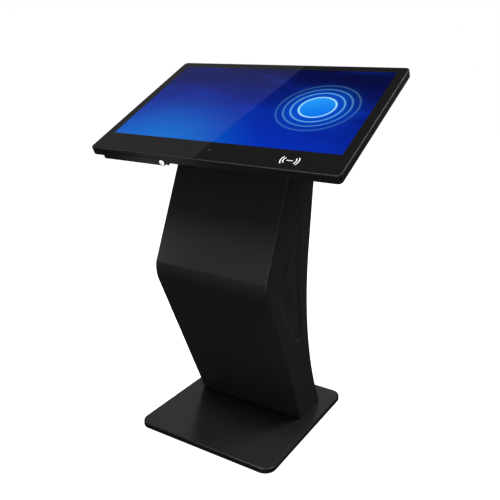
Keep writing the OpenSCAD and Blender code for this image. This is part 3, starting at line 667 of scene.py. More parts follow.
class Form:
    """A shape under way, in the axes of a local frame."""

    TOUCH = 1e-6

    def __init__(self) -> None:
        """Starts with nothing."""
        self.bm = bmesh.new()

    def block(self, low: Vector, high: Vector) -> None:
        """Adds a block.

        Args:
            low: Its lowest corner.
            high: Its highest corner.
        """
        size = Matrix.Diagonal((*(Vector(high) - Vector(low)), 1.0))
        middle = Matrix.Translation((Vector(low) + Vector(high)) / 2)
        bmesh.ops.create_cube(self.bm, size=1.0, matrix=middle @ size)

    def disc(self, radius: float, low: Vector, depth: Vector, segments: int = 48) -> None:
        """Adds a round bar from its lower centre, along depth.

        Args:
            radius: The bar's radius.
            low: The centre of one end.
            depth: From that centre to the other.
            segments: How many sides it has.
        """
        turn = Vector((0, 0, 1)).rotation_difference(depth).to_matrix().to_4x4()
        middle = Matrix.Translation(Vector(low) + Vector(depth) / 2)
        bmesh.ops.create_cone(
            self.bm, cap_ends=True, segments=segments, radius1=radius, radius2=radius,
            depth=Vector(depth).length, matrix=middle @ turn,
        )

    def edges(self, test: Callable[[Vector, Vector], bool]) -> list[bmesh.types.BMEdge]:
        """The edges whose two ends pass a test."""
        return [e for e in self.bm.edges if test(e.verts[0].co, e.verts[1].co)]

    def edges_along(self, axis: Axis) -> list[bmesh.types.BMEdge]:
        """The edges that run along an axis."""
        others = [i for i in range(3) if i != axis.value]
        return self.edges(lambda a, b: all(abs(a[i] - b[i]) < self.TOUCH for i in others))

    def edges_at(self, axis: Axis, value: float) -> list[bmesh.types.BMEdge]:
        """The edges that lie at a place on an axis."""
        i = axis.value
        return self.edges(lambda a, b: abs(a[i] - value) < self.TOUCH and abs(b[i] - value) < self.TOUCH)

    def round(self, edges: list[bmesh.types.BMEdge], radius: float, segments: int) -> None:
        """Rounds edges.

        Args:
            edges: The edges.
            radius: The radius.
            segments: How many faces go round it.
        """
        bmesh.ops.bevel(
            self.bm, geom=edges, offset=radius, offset_type="OFFSET", affect="EDGES",
            segments=segments, profile=0.5, material=-1, clamp_overlap=True,
        )

    def face_at(self, axis: Axis, value: float) -> bmesh.types.BMFace:
        """Finds the largest face that lies at a place on an axis.

        Args:
            axis: The axis.
            value: The place.

        Returns:
            The face.
        """
        i = axis.value
        flat = [f for f in self.bm.faces if all(abs(v.co[i] - value) < self.TOUCH for v in f.verts)]
        return max(flat, key=lambda f: f.calc_area())

    def sink(self, face: bmesh.types.BMFace, inset: float, depth: float) -> bmesh.types.BMFace:
        """Sinks the middle of a face with upright walls.

        Args:
            face: The face.
            inset: The width of the ledge that stays.
            depth: How far the middle goes in.

        Returns:
            The sunk face.
        """
        bmesh.ops.inset_region(self.bm, faces=[face], thickness=inset, use_even_offset=True)
        bmesh.ops.inset_region(self.bm, faces=[face], thickness=1e-7, depth=-depth, use_even_offset=True)
        return face

    def outward(self) -> "Form":
        """Turns every face outwards."""
        bmesh.ops.recalc_face_normals(self.bm, faces=self.bm.faces)
        return self

    def largest(self) -> bmesh.types.BMFace:
        """The largest face."""
        return max(self.bm.faces, key=lambda f: f.calc_area())

    def as_object(self, name: str, finish: bpy.types.Material | None = None) -> bpy.types.Object:
        """Puts the shape into the scene and gives up its bmesh.

        Args:
            name: The object's name.
            finish: Its material.

        Returns:
            The object.
        """
        mesh = bpy.data.meshes.new(name)
        self.bm.to_mesh(mesh)
        self.bm.free()
        made = bpy.data.objects.new(name, mesh)
        bpy.context.scene.collection.objects.link(made)
        if finish:
            mesh.materials.append(finish)
        return made


class Pen:
    """Draws a chain of edges in the upright Y-Z plane, straight runs and arcs in turn."""

    def __init__(self, form: Form, x: float, y: float, z: float) -> None:
        """Puts the pen down.

        Args:
            form: The shape that the chain belongs to.
            x: The plane's place.
            y: The first point.
            z: The first point's height.
        """
        self.bm = form.bm
        self.x = x
        self.first = self.tip = self.bm.verts.new((x, y, z))
        self.chain: list[bmesh.types.BMEdge] = []

    def line(self, y: float, z: float) -> "Pen":
        """Draws a straight run.

        Args:
            y: Its end.
            z: Its end's height.

        Returns:
            The pen.
        """
        made = bmesh.ops.extrude_vert_indiv(self.bm, verts=[self.tip])
        self.tip = made["verts"][0]
        self.tip.co = (self.x, y, z)
        self.chain += made["edges"]
        return self

    def arc(self, y: float, z: float, turn: float, steps: int) -> "Pen":
        """Draws an arc.

        Args:
            y: The arc's centre.
            z: The centre's height.
            turn: The angle in radians, positive from Y towards Z.
            steps: How many edges.

        Returns:
            The pen.
        """
        before = set(self.bm.edges)
        made = bmesh.ops.spin(
            self.bm, geom=[self.tip], cent=(self.x, y, z), axis=(1, 0, 0), angle=turn, steps=steps,
        )
        self.tip = next(g for g in made["geom_last"] if isinstance(g, bmesh.types.BMVert))
        self.chain += [e for e in self.bm.edges if e not in before]
        return self

    def close(self) -> "Pen":
        """Joins the last point to the first."""
        self.chain.append(self.bm.edges.new((self.tip, self.first)))
        return self


@dataclass
class Piece:
    """A finished shape on its way to becoming a piece of the object."""

    name: str
    form: Form
    finish: bpy.types.Material
    slot: str
    replaces: tuple[str, ...] = ()
    body: str = "root"
    place: LocalFrame = WORLD
    cutters: tuple[Form, ...] = ()
    crease: float = 40.0

    def build(self) -> None:
        """Makes the mesh object, cuts it, and hangs it on its body."""
        for form in (self.form, *self.cutters):
            form.bm.transform(self.place.matrix())
        made = self.form.as_object(self.name)
        for number, cutter in enumerate(self.cutters):
            self.cut(made, cutter.as_object(f"{self.name}_cutter_{number}"))
        made.data.materials.clear()
        made.data.materials.append(self.finish)
        made.data.shade_smooth()
        made.data.set_sharp_from_angle(angle=math.radians(self.crease))
        level = made.modifiers.new("even_shading", "WEIGHTED_NORMAL")
        level.keep_sharp = True
        level.weight = 100
        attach(made, self.body)
        if self.replaces:
            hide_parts(*self.replaces)
        log.info("%s: %d faces on body %s", self.name, len(made.data.polygons), self.body)

    @staticmethod
    def cut(target: bpy.types.Object, cutter: bpy.types.Object) -> None:
        """Takes one object's shape out of another's, for good.

        Args:
            target: The object that is cut.
            cutter: The shape that is taken out, which goes from the scene.
        """
        step = target.modifiers.new("cut", "BOOLEAN")
        step.operation = "DIFFERENCE"
        step.solver = "EXACT"
        step.object = cutter
        graph = bpy.context.evaluated_depsgraph_get()
        mesh = bpy.data.meshes.new_from_object(target.evaluated_get(graph))
        target.modifiers.clear()
        target.data = mesh
        bpy.data.objects.remove(cutter)


# ---------------------------------------------------------------- the finishes in use


def palette() -> dict[str, bpy.types.Material]:
    """Makes one material for each of the record's slots, and the ink of the printed mark.

    Returns:
        The materials by the name of their finish.
    """
    low, high = HEAD.extents("touch_sensor")
    dark_edge = 6 * MM
    base_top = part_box("base_cover")[1].z
    finishes = [
        PowderCoat(
            "frame_paint", (0.0155, 0.0155, 0.016), 0.46, grain=0.5 * MM, relief=0.004 * MM, gloss=0.22
        ),
        PowderCoat("panel_paint", (0.0135, 0.0135, 0.014), 0.5),
        # the base's paint gets painted shade on its side below the top rim
        PowderCoat("base_paint", (0.017, 0.017, 0.018), 0.44, grain=1.1 * MM, rim=base_top),
        Metal("zinc_steel", (0.5, 0.51, 0.53), 0.36, drawn=(0.1, 1.0, 1.0)),
        Metal("raw_steel", (0.13, 0.13, 0.135), 0.55, drawn=(0.2, 1.0, 1.0), contrast=0.4),
        Metal("bright_metal", (0.83, 0.83, 0.84), 0.12, scratch=0.3 * MM, contrast=0.06),
        Metal("black_screws", (0.035, 0.035, 0.037), 0.4, scratch=0.3 * MM),
        Moulding("black_plastic", (0.016, 0.016, 0.017), 0.5),
        Moulding("white_plastic", (0.72, 0.72, 0.69), 0.42),
        Moulding("rubber", (0.012, 0.012, 0.012), 0.82, sheen=0.15),
        Moulding("sensor_film", (0.05, 0.06, 0.06), 0.2, relief=0.004 * MM),
        Moulding("display", (0.02, 0.025, 0.05), 0.28, relief=0.006 * MM),
        Foam("black_foam", (0.02, 0.02, 0.02), 0.9),
        CircuitBoard("circuit_board", (0.015, 0.12, 0.045), 0.34),
        Paper("speaker_paper", (0.014, 0.014, 0.014), 0.86),
        Sleeve("cable_jacket", (0.012, 0.012, 0.013), 0.6),
        Ink("mark_ink", (0.8, 0.8, 0.82), 0.5),
        LitGlass(
            "cover_glass", (0.0078, 0.0078, 0.0082), 0.004, origin=HEAD.origin,
            tilt=math.atan2(HEAD.along.z, HEAD.along.y),
            half_width=high.x - dark_edge, half_height=(high.y - low.y) / 2 - dark_edge,
        ),
    ]
    return {finish.name: finish.material() for finish in finishes}


def dress_cad_nodes(paints: dict[str, bpy.types.Material]) -> None:
    """Gives every CAD node the finish of its slot.

    Args:
        paints: The materials by slot.
    """
    for name, node in frame["nodes"].items():
        slot = node.data.materials[0].name.split(".")[0]
        if slot not in paints:
            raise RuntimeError(f"node {name} has slot {slot}, which has no finish")
        node.data.materials.clear()
        node.data.materials.append(paints[slot])
    log.info("dressed %d CAD nodes", len(frame["nodes"]))


# ---------------------------------------------------------------- head


@dataclass
class Head:
    """The tilted display head: glass, frame, printed mark, sensor window and the hatch with its lock."""

    paints: dict[str, bpy.types.Material]
    corner: float = 12 * MM
    wall: float = 3 * MM
    rim: float = 2 * MM
    rim_below: float = 2.5 * MM
    ledge_depth: float = 5.2 * MM
    ledge: float = 2.5 * MM
    ledge_width: float = 7.5 * MM
    hatch_play: float = 1.2 * MM
    hatch_plate: float = 2.5 * MM
    hatch_edge: float = 1.2 * MM
    hatch_corner: float = 1.5 * MM
    ear_width: float = 2 * MM
    ear_below: float = 2.4 * MM
    ear_behind: float = 2.6 * MM
    lock_radius: float = 7 * MM
    lock_play: float = 0.05 * MM
    core_radius: float = 3.3 * MM
    cam_half_width: float = 3.5 * MM
    cam_sheet: float = 1.5 * MM
    key_slot: tuple[float, float] = (0.5 * MM, 2.1 * MM)
    mark_at: tuple[float, float] = (233.6 * MM, -239 * MM)
    mark_radii: tuple[float, float] = (17 * MM, 24 * MM)
    mark_width: float = 2.4 * MM
    mark_spread: float = math.radians(72)
    mark_bar: tuple[float, float] = (8.5 * MM, 1.1 * MM)
    print_height: float = 0.05 * MM
    sensor_radius: float = 2.4 * MM

    def build(self) -> None:
        """Builds every new piece of the head."""
        self.glass()
        self.surround()
        self.mark()
        self.sensor_window()
        self.hatch()
        self.lock()

    def glass(self) -> None:
        """The cover glass, cut square and rounded at the corners."""
        low, high = HEAD.extents("cover_glass")
        form = Form()
        form.block(low, high)
        form.round(form.edges_along(Axis.Z), self.corner - self.wall, 12)
        Piece(
            "front_glass", form, self.paints["cover_glass"], "cover_glass", ("cover_glass",), place=HEAD
        ).build()

    def surround(self) -> None:
        """The frame round the glass: a hollow band with rounded rims and the hatch's opening."""
        low, high = HEAD.extents("head_frame")
        form = Form()
        form.block(low, high)
        form.round(form.edges_along(Axis.Z), self.corner, 14)
        form.round(form.edges_at(Axis.Z, high.z), self.rim, 5)
        form.round(form.edges_at(Axis.Z, low.z), self.rim_below, 5)
        top = form.face_at(Axis.Z, high.z)
        form.sink(top, self.wall - self.rim, self.ledge_depth)
        bottom = form.face_at(Axis.Z, low.z)
        form.sink(bottom, self.wall - self.rim_below, high.z - low.z - self.ledge_depth - self.ledge)
        for face in (top, bottom):
            bmesh.ops.inset_region(form.bm, faces=[face], thickness=self.ledge_width, use_even_offset=True)
        loops = [*top.edges, *bottom.edges]
        bmesh.ops.delete(form.bm, geom=[top, bottom], context="FACES_ONLY")
        bmesh.ops.bridge_loops(form.bm, edges=loops)
        Piece(
            "head_surround", form.outward(), self.paints["frame_paint"], "frame_paint", ("head_frame",),
            place=HEAD, cutters=(self.hatch_outline(self.hatch_play, self.wall + 2 * MM, 1 * MM),),
        ).build()

    def hatch_outline(self, grow: float, depth: float, proud: float) -> Form:
        """A plate in the hatch's outline, round at its right end.

        Args:
            grow: How much larger than the hatch door it is all round.
            depth: How far it reaches in from the band's face.
            proud: How far it stands out of it.

        Returns:
            The plate.
        """
        low, high = HEAD.extents("hatch_door")
        face = low.y
        form = Form()
        form.block(
            (low.x - grow, face - proud, low.z - grow), (high.x + grow, face + depth, high.z + grow)
        )
        right = high.x + grow - self.hatch_edge
        ends = [e for e in form.edges_along(Axis.Y) if e.verts[0].co.x > right]
        form.round(ends, (high.z - low.z) / 2 + grow - 0.05 * MM, 12)
        return form

    def hatch(self) -> None:
        """The drop-down door over the ports, and its two hinge ears."""
        low, high = HEAD.extents("hatch_door")
        pins_low, pins_high = HEAD.extents("hatch_pins")
        form = self.hatch_outline(0.0, self.hatch_plate, 0.0)
        left = [e for e in form.edges_along(Axis.Y) if e.verts[0].co.x < low.x + MM]
        form.round(left, self.hatch_corner, 4)
        form.round(form.edges_at(Axis.Y, low.y), self.hatch_edge, 3)
        pin = (pins_low + pins_high) / 2
        pin_radius = (pins_high.z - pins_low.z) / 2
        barrel_x = high.x - (high.z - low.z) / 2
        for x in (low.x, barrel_x + 3 * MM):
            form.block(
                (x, low.y + self.hatch_plate, pin.z - self.ear_below),
                (x + self.ear_width, pin.y + self.ear_behind, pin.z + pin_radius),
            )
        hole = Form()
        through = Vector((0, 5 * MM, 0))
        hole.disc(self.lock_radius + self.lock_play, (barrel_x, low.y - MM, (low.z + high.z) / 2), through)
        Piece(
            "port_hatch", form, self.paints["frame_paint"], "frame_paint", ("hatch_door",),
            body="hatch_door", place=HEAD, cutters=(hole,),
        ).build()

    def lock(self) -> None:
        """The hatch's cam lock: a turned bezel, a barrel, a keyed core and the cam behind."""
        low, high = HEAD.extents("hatch_lock")
        door_low, door_high = HEAD.extents("hatch_door")
        x = door_high.x - (door_high.z - door_low.z) / 2
        z = (door_low.z + door_high.z) / 2
        bezel = self.lock_radius + 1 * MM
        core = self.core_radius
        back = high.y - self.cam_sheet
        outline = [
            (0.0, back), (self.lock_radius, back), (self.lock_radius, low.y + 1.3 * MM),
            (bezel, low.y + 1.3 * MM), (bezel, low.y + 0.5 * MM), (bezel - 0.5 * MM, low.y),
            (core + 0.9 * MM, low.y), (core + 0.6 * MM, low.y + 0.5 * MM), (core, low.y + 0.5 * MM),
            (core, low.y + 0.2 * MM), (0.0, low.y + 0.2 * MM),
        ]
        form = Form()
        verts = [form.bm.verts.new((x + r, y, z)) for r, y in outline]
        edges = [form.bm.edges.new(pair) for pair in zip(verts, verts[1:])]
        bmesh.ops.spin(
            form.bm, geom=verts + edges, cent=(x, 0, z), axis=(0, 1, 0), angle=2 * math.pi, steps=48,
            use_merge=True,
        )
        bmesh.ops.remove_doubles(form.bm, verts=form.bm.verts, dist=form.TOUCH)
        form.outward()
        form.block((low.x, back, z - self.cam_half_width), (x + 4 * MM, high.y, z + self.cam_half_width))
        key = Form()
        thin, tall = self.key_slot
        key.block((x - thin, low.y - MM, z - tall), (x + thin, low.y + 2 * MM, z + tall))
        Piece(
            "hatch_cam_lock", form, self.paints["bright_metal"], "bright_metal", ("hatch_lock",),
            body="hatch_lock", place=HEAD, cutters=(key,),
        ).build()

    def mark(self) -> None:
        """The printed contactless mark: two arcs on either side of a small bar."""
        x, y = self.mark_at
        form = Form()
        for side in Side:
            start = math.radians(90 - 90 * side.value) - self.mark_spread / 2
            for radius in self.mark_radii:
                near, far = radius - self.mark_width / 2, radius + self.mark_width / 2
                section = ((near, 0.0), (far, 0.0), (far, self.print_height), (near, self.print_height))
                ring = [
                    form.bm.verts.new((x + r * math.cos(start), y + r * math.sin(start), height))
                    for r, height in section
                ]
                cap = form.bm.faces.new(ring)
                bmesh.ops.spin(
                    form.bm, geom=[cap, *cap.edges, *cap.verts], cent=(x, y, 0), axis=(0, 0, 1),
                    angle=self.mark_spread, steps=20,
                )
        half_long, half_wide = self.mark_bar
        form.block((x - half_long, y - half_wide, 0), (x + half_long, y + half_wide, self.print_height))
        Piece("contactless_mark", form.outward(), self.paints["mark_ink"], "cover_glass", place=HEAD).build()

    def sensor_window(self) -> None:
        """The small lens of the light sensor in the glass's border."""
        low, high = HEAD.extents("light_sensor")
        centre = (low + high) / 2
        form = Form()
        form.disc(self.sensor_radius, (centre.x, centre.y, 0.0), Vector((0, 0, self.print_height)), 32)
        Piece("sensor_window", form, self.paints["sensor_film"], "sensor_film", place=HEAD).build()


# ---------------------------------------------------------------- pedestal


@dataclass
class Pedestal:
    """The folded front and the two side panels with their pressed recesses."""

    paints: dict[str, bpy.types.Material]
    upper_lean: float = math.radians(21.6)
    crease: float = math.radians(14)
    crease_up: float = 23 * MM
    foot_y: float = 30 * MM
    nose_meet: tuple[float, float] = (-212 * MM, 489.6 * MM)
    nose_steps: int = 20
    past_head: float = 0.5
    sheet: float = 2 * MM
    side_sheet: float = 1.4 * MM
    bend: float = 4.5 * MM
    bend_steps: int = 12
    flange: float = 6 * MM
    seam: float = 1.2 * MM
    rear_radius: float = 950 * MM
    rear_middle: tuple[float, float] = (31 * MM, 485 * MM)
    rear_lean: float = math.radians(4)
    rear_steps: int = 40
    pressed_width: float = 9 * MM
    pressed_steps: int = 8
    grille_play: float = 0.05 * MM
    high_corner: tuple[float, float] = (670 * MM, 18 * MM)
    low_corner: tuple[float, float] = (303 * MM, 24 * MM)
    recess_nose: tuple[float, float, float] = (-148 * MM, 484 * MM, 15 * MM)
    recess_rear: tuple[float, float, float] = (913 * MM, 560 * MM, 933 * MM)
    recess_steps: tuple[int, int, int] = (12, 24, 8)
    foot: float = field(init=False)
    half: float = field(init=False)
    lower_lean: float = field(init=False)
    under_head: Vector = field(init=False)

    def __post_init__(self) -> None:
        """Takes the foot's height, half the width, the lower lean and the upper end from the CAD frame."""
        low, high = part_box("front_panel")
        self.foot = low.z
        self.half = high.x
        meet_y, meet_z = self.nose_meet
        self.lower_lean = math.atan((self.foot_y - meet_y) / (meet_z - self.foot))
        self.under_head = HEAD.at(0, 0, HEAD.extents("front_panel")[1].z)

    def build(self) -> None:
        """Builds the front and both sides."""
        self.front()
        for side in Side:
            self.flank(side)

    def draw_front(self, form: Form, x: float, inset: float) -> Pen:
        """Draws the front's line from the foot, round the nose and over the crease, to past the head.

        Args:
            form: The shape that it belongs to.
            x: The plane's place.
            inset: How far behind the outer face.

        Returns:
            The pen at the top.
        """
        meet = Vector(self.nose_meet)
        up = Vector((math.sin(self.upper_lean), math.cos(self.upper_lean)))
        into_up = Vector((up.y, -up.x))
        down = Vector((math.sin(self.lower_lean), -math.cos(self.lower_lean)))
        into_down = Vector((-down.y, down.x))
        turn = self.upper_lean + self.lower_lean
        tangent = self.crease_up * math.sin(turn) / math.sin(turn - self.crease)
        radius = tangent / math.tan((turn - self.crease) / 2)
        under = self.upper_lean - self.crease
        centre = meet + up * self.crease_up + Vector((math.cos(under), -math.sin(under))) * radius
        sharp = math.acos((radius * math.cos(self.crease) - inset) / (radius - inset))
        start = centre - into_down * (radius - inset)
        foot = start + down * ((start.y - self.foot) / -down.y)
        top = meet + up * self.past_head + into_up * inset
        pen = Pen(form, x, foot.x, foot.y).line(start.x, start.y)
        return pen.arc(centre.x, centre.y, sharp - turn, self.nose_steps).line(top.x, top.y)

    def trim_top(self, form: Form) -> None:
        """Cuts a shape off at the plane under the head.

        Args:
            form: The shape.
        """
        bmesh.ops.bisect_plane(
            form.bm, geom=[*form.bm.verts, *form.bm.edges, *form.bm.faces], dist=form.TOUCH / 10,
            plane_co=self.under_head, plane_no=HEAD.out, clear_outer=True,
        )

    def front(self) -> None:
        """The front: one sheet folded round the nose, with a return bent back along either side."""
        form = Form()
        turns = [math.pi / 2 * step / self.bend_steps for step in range(self.bend_steps + 1)]
        bend = [(self.half - self.bend * (1 - math.cos(a)), self.bend * (1 - math.sin(a))) for a in turns]
        right = [(self.half, self.flange), *bend]
        lines = [(-x, inset) for x, inset in right] + right[::-1]
        chains = [self.draw_front(form, x, inset).chain for x, inset in lines]
        for one, other in zip(chains, chains[1:]):
            bmesh.ops.bridge_loops(form.bm, edges=[*one, *other])
        self.trim_top(form)
        form.outward()
        if form.largest().normal.y > 0:
            bmesh.ops.reverse_faces(form.bm, faces=form.bm.faces)
        bmesh.ops.solidify(form.bm, geom=form.bm.faces, thickness=self.sheet)
        form.outward()
        Piece(
            "folded_front", form, self.paints["panel_paint"], "panel_paint", ("front_panel",), crease=9
        ).build()

    def draw_recess(self, form: Form, x: float) -> Pen:
        """Draws the recess's closed outline: three round corners and the concave rear arc.

        Args:
            form: The shape that it belongs to.
            x: The plane's place.

        Returns:
            The closed pen.
        """
        rear_y, rear_z, rear_r = self.recess_rear
        rear = Vector((rear_y, rear_z))
        nose = Vector(self.recess_nose[:2])
        nose_r = self.recess_nose[2]
        corner_steps, rear_steps, nose_steps = self.recess_steps
        under_front, over_front = math.radians(210), math.radians(150)

        def corner(z: float, r: float) -> Vector:
            """The centre of a corner that touches the rear arc."""
            return Vector((rear_y - math.sqrt((rear_r + r) ** 2 - (z - rear_z) ** 2), z))

        def edge_heading(p: Vector, q: Vector, rp: float, rq: float) -> float:
            """The outward direction of the straight edge that touches two circles."""
            way = q - p
            return math.atan2(way.y, way.x) - math.acos((rp - rq) / way.length)

        def near(angle: float, other: float) -> float:
            """The same angle within half a turn of another."""
            return angle + 2 * math.pi * round((other - angle) / (2 * math.pi))

        def on(centre: Vector, r: float, angle: float) -> Vector:
            """A point on a circle."""
            return centre + Vector((math.cos(angle), math.sin(angle))) * r

        high_r, low_r = self.high_corner[1], self.low_corner[1]
        high, low = corner(*self.high_corner), corner(*self.low_corner)
        low_side = math.atan2(*reversed(rear - low))
        high_side = math.atan2(*reversed(rear - high))
        brow = edge_heading(high, nose, high_r, nose_r)
        chin = edge_heading(nose, low, nose_r, low_r)
        chin_start = near(chin, low_side - math.pi / 2)
        start = on(low, low_r, chin_start)
        pen = Pen(form, x, start.x, start.y)
        pen.arc(low.x, low.y, low_side - chin_start, corner_steps)
        pen.arc(rear_y, rear_z, high_side - low_side, rear_steps)
        pen.arc(high.x, high.y, near(brow, high_side + math.pi / 2) - high_side, corner_steps)
        brow_end = on(nose, nose_r, brow)
        pen.line(brow_end.x, brow_end.y)
        pen.arc(nose.x, nose.y, near(chin, under_front) - near(brow, over_front), nose_steps)
        return pen.close()

    def flank(self, side: Side) -> None:
        """One side panel: a flat sheet with a recess pressed into it for the grille.

        Args:
            side: Which side.
        """
        form = Form()
        pen = self.draw_front(form, self.half, self.flange + self.seam)
        rear_y, rear_z = self.rear_middle
        centre = Vector((rear_y + self.rear_radius, rear_z))
        lean = self.rear_lean
        straight = centre + self.rear_radius * Vector((-math.cos(lean), math.sin(lean)))
        top = straight + self.past_head * Vector((math.sin(lean), math.cos(lean)))
        drop = math.asin((rear_z - self.foot) / self.rear_radius)
        pen.line(top.x, top.y).line(straight.x, straight.y)
        pen.arc(centre.x, centre.y, drop + lean, self.rear_steps).close()
        form.bm.faces.new(self.ordered(pen))
        self.trim_top(form)
        outer = list(form.bm.edges)
        bmesh.ops.delete(form.bm, geom=list(form.bm.faces), context="FACES_ONLY")
        rim = self.draw_recess(form, self.half)
        pressed = form.bm.faces.new(self.ordered(rim))
        pressed.normal_update()
        if pressed.normal.x < 0:
            pressed.normal_flip()
        bmesh.ops.triangle_fill(form.bm, edges=[*outer, *pressed.edges], use_beauty=True, normal=(1, 0, 0))
        depth = self.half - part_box("right_grille")[1].x - self.grille_play
        shares = [self.press(step / self.pressed_steps) for step in range(self.pressed_steps + 1)]
        for before, after in zip(shares, shares[1:]):
            bmesh.ops.inset_region(
                form.bm, faces=[pressed], thickness=self.pressed_width / self.pressed_steps,
                depth=-depth * (after - before), use_even_offset=True,
            )
        bmesh.ops.delete(form.bm, geom=[pressed], context="FACES_ONLY")
        form.outward()
        if form.largest().normal.x < 0:
            bmesh.ops.reverse_faces(form.bm, faces=form.bm.faces)
        bmesh.ops.solidify(form.bm, geom=form.bm.faces, thickness=self.side_sheet)
        if side is Side.LEFT:
            bmesh.ops.scale(form.bm, vec=(-1, 1, 1), verts=form.bm.verts)
        form.outward()
        name = side.name.lower()
        Piece(
            f"{name}_flank", form, self.paints["panel_paint"], "panel_paint", (f"{name}_side_panel",),
            crease=24,
        ).build()

    @staticmethod
    def press(share: float) -> float:
        """How deep the pressed wall is, part of the way across it: a soft rim and a soft foot."""
        return share * share * (3 - 2 * share)

    @staticmethod
    def ordered(pen: Pen) -> list[bmesh.types.BMVert]:
        """Puts the corners of a closed chain in order.

        Args:
            pen: The pen that drew it.

        Returns:
            The corners.
        """
        verts = [pen.first]
        used: set[bmesh.types.BMEdge] = set()
        while len(verts) < len(pen.chain):
            edge = next(e for e in verts[-1].link_edges if e not in used and e in pen.chain)
            used.add(edge)
            verts.append(edge.other_vert(verts[-1]))
        return verts


# ---------------------------------------------------------------- base


@dataclass
class Base:
    """The weighted base's cover, a thin tray turned upside down with a rounded rim."""

    paints: dict[str, bpy.types.Material]
    corner: float = 34 * MM
    rim: float = 3 * MM
    wall: float = 3 * MM

    def build(self) -> None:
        """Builds the cover."""
        low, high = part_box("base_cover")
        form = Form()
        form.block(low, high)
        form.round(form.edges_along(Axis.Z), self.corner, 20)
        form.round(form.edges_at(Axis.Z, high.z), self.rim, 6)
        form.sink(form.face_at(Axis.Z, low.z), self.wall, high.z - low.z - self.wall)
        Piece("base_top", form.outward(), self.paints["base_paint"], "base_paint", ("base_cover",)).build()


# ---------------------------------------------------------------- studio


@dataclass(frozen=True)
class Lamp:
    """A soft box that shines at a point."""

    name: str
    at: tuple[float, float, float]
    towards: tuple[float, float, float]
    size: tuple[float, float]
    power: float

    def build(self) -> None:
        """Hangs the soft box."""
        data = bpy.data.lights.new(self.name, "AREA")
        data.shape = "RECTANGLE"
        data.size, data.size_y = self.size
        data.energy = self.power
        lamp = bpy.data.objects.new(self.name, data)
        lamp.location = self.at
        way = Vector(self.towards) - Vector(self.at)
        lamp.rotation_euler = way.to_track_quat("-Z", "Y").to_euler()
        bpy.context.scene.collection.objects.link(lamp)


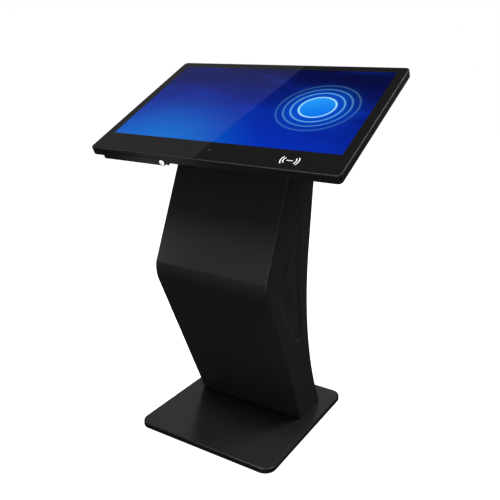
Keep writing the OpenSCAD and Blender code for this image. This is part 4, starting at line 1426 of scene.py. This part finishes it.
@dataclass
class Studio:
    """A white room with a pale floor, soft boxes, and two cards that only mirrors see."""

    camera_at: tuple[float, float, float] = (0.90087, -1.49155, 1.06357)
    camera_yaw: float = math.radians(31.019)
    camera_pitch: float = math.radians(-13.576)
    camera_roll: float = math.radians(1.034)
    lens: float = 44.907
    shift: float = -0.08
    room_low: float = 0.1
    room_high: float = 0.012
    room_turn: tuple[float, float] = (0.35, 0.62)
    floor_size: float = 60.0
    floor_seen: float = 0.86
    floor_lift: float = 0.99
    floor_lit: float = 0.06
    glare_top: tuple[float, float] = (62.5 * MM, 217.5 * MM)
    glare_bottom: tuple[float, float] = (-25.8 * MM, -267.2 * MM)
    glare_left: float = -0.9
    glare_past: float = 0.3
    card_reach: float = 2.0
    card_light: float = 0.13
    low_card_light: float = 1.4
    low_card_size: float = 0.14
    low_card_reach: float = 0.3
    lamps: tuple[Lamp, ...] = (
        Lamp("key", (-0.55, -0.95, 3.2), (0, -0.1, 0.3), (1.5, 0.85), 76),
        Lamp("fill", (1.4, 1.1, 2.9), (0, 0, 0.4), (1.3, 1.3), 68),
        Lamp("front", (1.3, -2.8, 0.55), (0, 0, 0.3), (2.4, 1.1), 24),
        Lamp("back", (-1.3, 2.6, 2.1), (0, 0, 0.2), (2.4, 1.8), 4),
    )

    def build(self) -> None:
        """Sets the scene."""
        view = bpy.context.scene.view_settings
        view.view_transform = "Standard"
        view.look = "None"
        self.world()
        self.floor()
        self.cards()
        self.camera()
        for lamp in self.lamps:
            lamp.build()

    def world(self) -> None:
        """White to the camera, and a dim grey to everything that it lights."""
        world = bpy.data.worlds.new("room")
        bpy.context.scene.world = world
        world.use_nodes = True
        nodes = Nodes(world.node_tree)
        seen = nodes.node("ShaderNodeLightPath", output="Is Camera Ray")
        _, _, height = nodes.axes(nodes.node("ShaderNodeTexCoord", output="Generated"))
        rise = nodes.step(height, *self.room_turn)
        dim = nodes.mix(rise, (self.room_low,) * 3, (self.room_high,) * 3)
        shade = nodes.mix(seen, dim, (1.0, 1.0, 1.0))
        light = nodes.node("ShaderNodeBackground", values={"Color": shade, "Strength": 1.0})
        output = world.node_tree.nodes.new("ShaderNodeOutputWorld")
        world.node_tree.links.new(light.link, output.inputs["Surface"])

    def floor(self) -> None:
        """A pale matt floor that shows white, with only the soft shadow at the base's edge."""
        paint = Shader("pale_floor")
        seen = paint.node("ShaderNodeLightPath", output="Is Camera Ray")
        pale, dim = (
            paint.node("ShaderNodeBsdfDiffuse", values={"Color": (grey, grey, grey, 1.0)})
            for grey in (self.floor_seen, self.floor_lit)
        )
        glow = {"Color": (1, 1, 1, 1), "Strength": self.floor_lift}
        lift = paint.node("ShaderNodeEmission", values=glow)
        bright = paint.node("ShaderNodeAddShader", values={0: pale, 1: lift})
        paint.finish(paint.node("ShaderNodeMixShader", values={0: seen, 1: dim, 2: bright}))
        form = Form()
        bmesh.ops.create_grid(form.bm, x_segments=1, y_segments=1, size=self.floor_size / 2)
        form.as_object("floor", paint.material)

    def cards(self) -> None:
        """Two cards that only mirrors see: a dim one for the left of the glass, a bright one for the lock."""
        camera = Vector(self.camera_at)
        mirrored = camera - 2 * (camera - HEAD.origin).dot(HEAD.out) * HEAD.out
        corners = [
            HEAD.at(*self.glare_top, 0), HEAD.at(*self.glare_bottom, 0),
            HEAD.at(self.glare_left, self.glare_bottom[1] - self.glare_past, 0),
            HEAD.at(self.glare_left, self.glare_top[1] + self.glare_past, 0),
        ]
        longer = (corners[0] - corners[1]) * 0.5
        corners[0] += longer
        corners[1] -= longer
        far = [mirrored + (c - mirrored) * self.card_reach for c in corners]
        self.card("glass_card", far, self.card_light)
        low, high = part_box("hatch_lock")
        lock = (low + high) / 2
        ray = (lock - camera).normalized().reflect(HEAD.along)
        middle = lock + ray * self.low_card_reach
        across = ray.cross(Vector((0, 0, 1))).normalized() * self.low_card_size / 2
        up = across.cross(ray)
        near = [middle + across + up, middle - across + up, middle - across - up, middle + across - up]
        self.card("lock_card", near, self.low_card_light)

    @staticmethod
    def card(name: str, corners: list[Vector], light: float) -> None:
        """Hangs one card.

        Args:
            name: The card's name.
            corners: Its four corners in order.
            light: How bright it looks in a mirror.
        """
        paint = Shader(name)
        paint.finish(paint.node("ShaderNodeEmission", values={"Color": (1, 1, 1, 1), "Strength": light}))
        form = Form()
        form.bm.faces.new([form.bm.verts.new(c) for c in corners])
        card = form.as_object(name, paint.material)
        card.visible_camera = False
        card.visible_diffuse = False
        card.visible_shadow = False

    def camera(self) -> None:
        """The camera, a little above the head and to the visitor's right."""
        data = bpy.data.cameras.new("camera")
        data.sensor_width = 36.0
        data.lens = self.lens
        data.shift_y = self.shift
        data.clip_start, data.clip_end = 0.05, 100.0
        camera = bpy.data.objects.new("camera", data)
        turn = (
            Matrix.Rotation(self.camera_yaw, 4, "Z")
            @ Matrix.Rotation(math.pi / 2 + self.camera_pitch, 4, "X")
            @ Matrix.Rotation(self.camera_roll, 4, "Z")
        )
        camera.matrix_world = Matrix.Translation(self.camera_at) @ turn
        bpy.context.scene.collection.objects.link(camera)
        bpy.context.scene.camera = camera


def main() -> None:
    """Builds the kiosk's looks and the studio round it."""
    logging.basicConfig(level=logging.INFO, format="%(name)s: %(message)s")
    paints = palette()
    dress_cad_nodes(paints)
    Head(paints).build()
    Pedestal(paints).build()
    Base(paints).build()
    Studio().build()


if __name__ == "__main__":
    main()
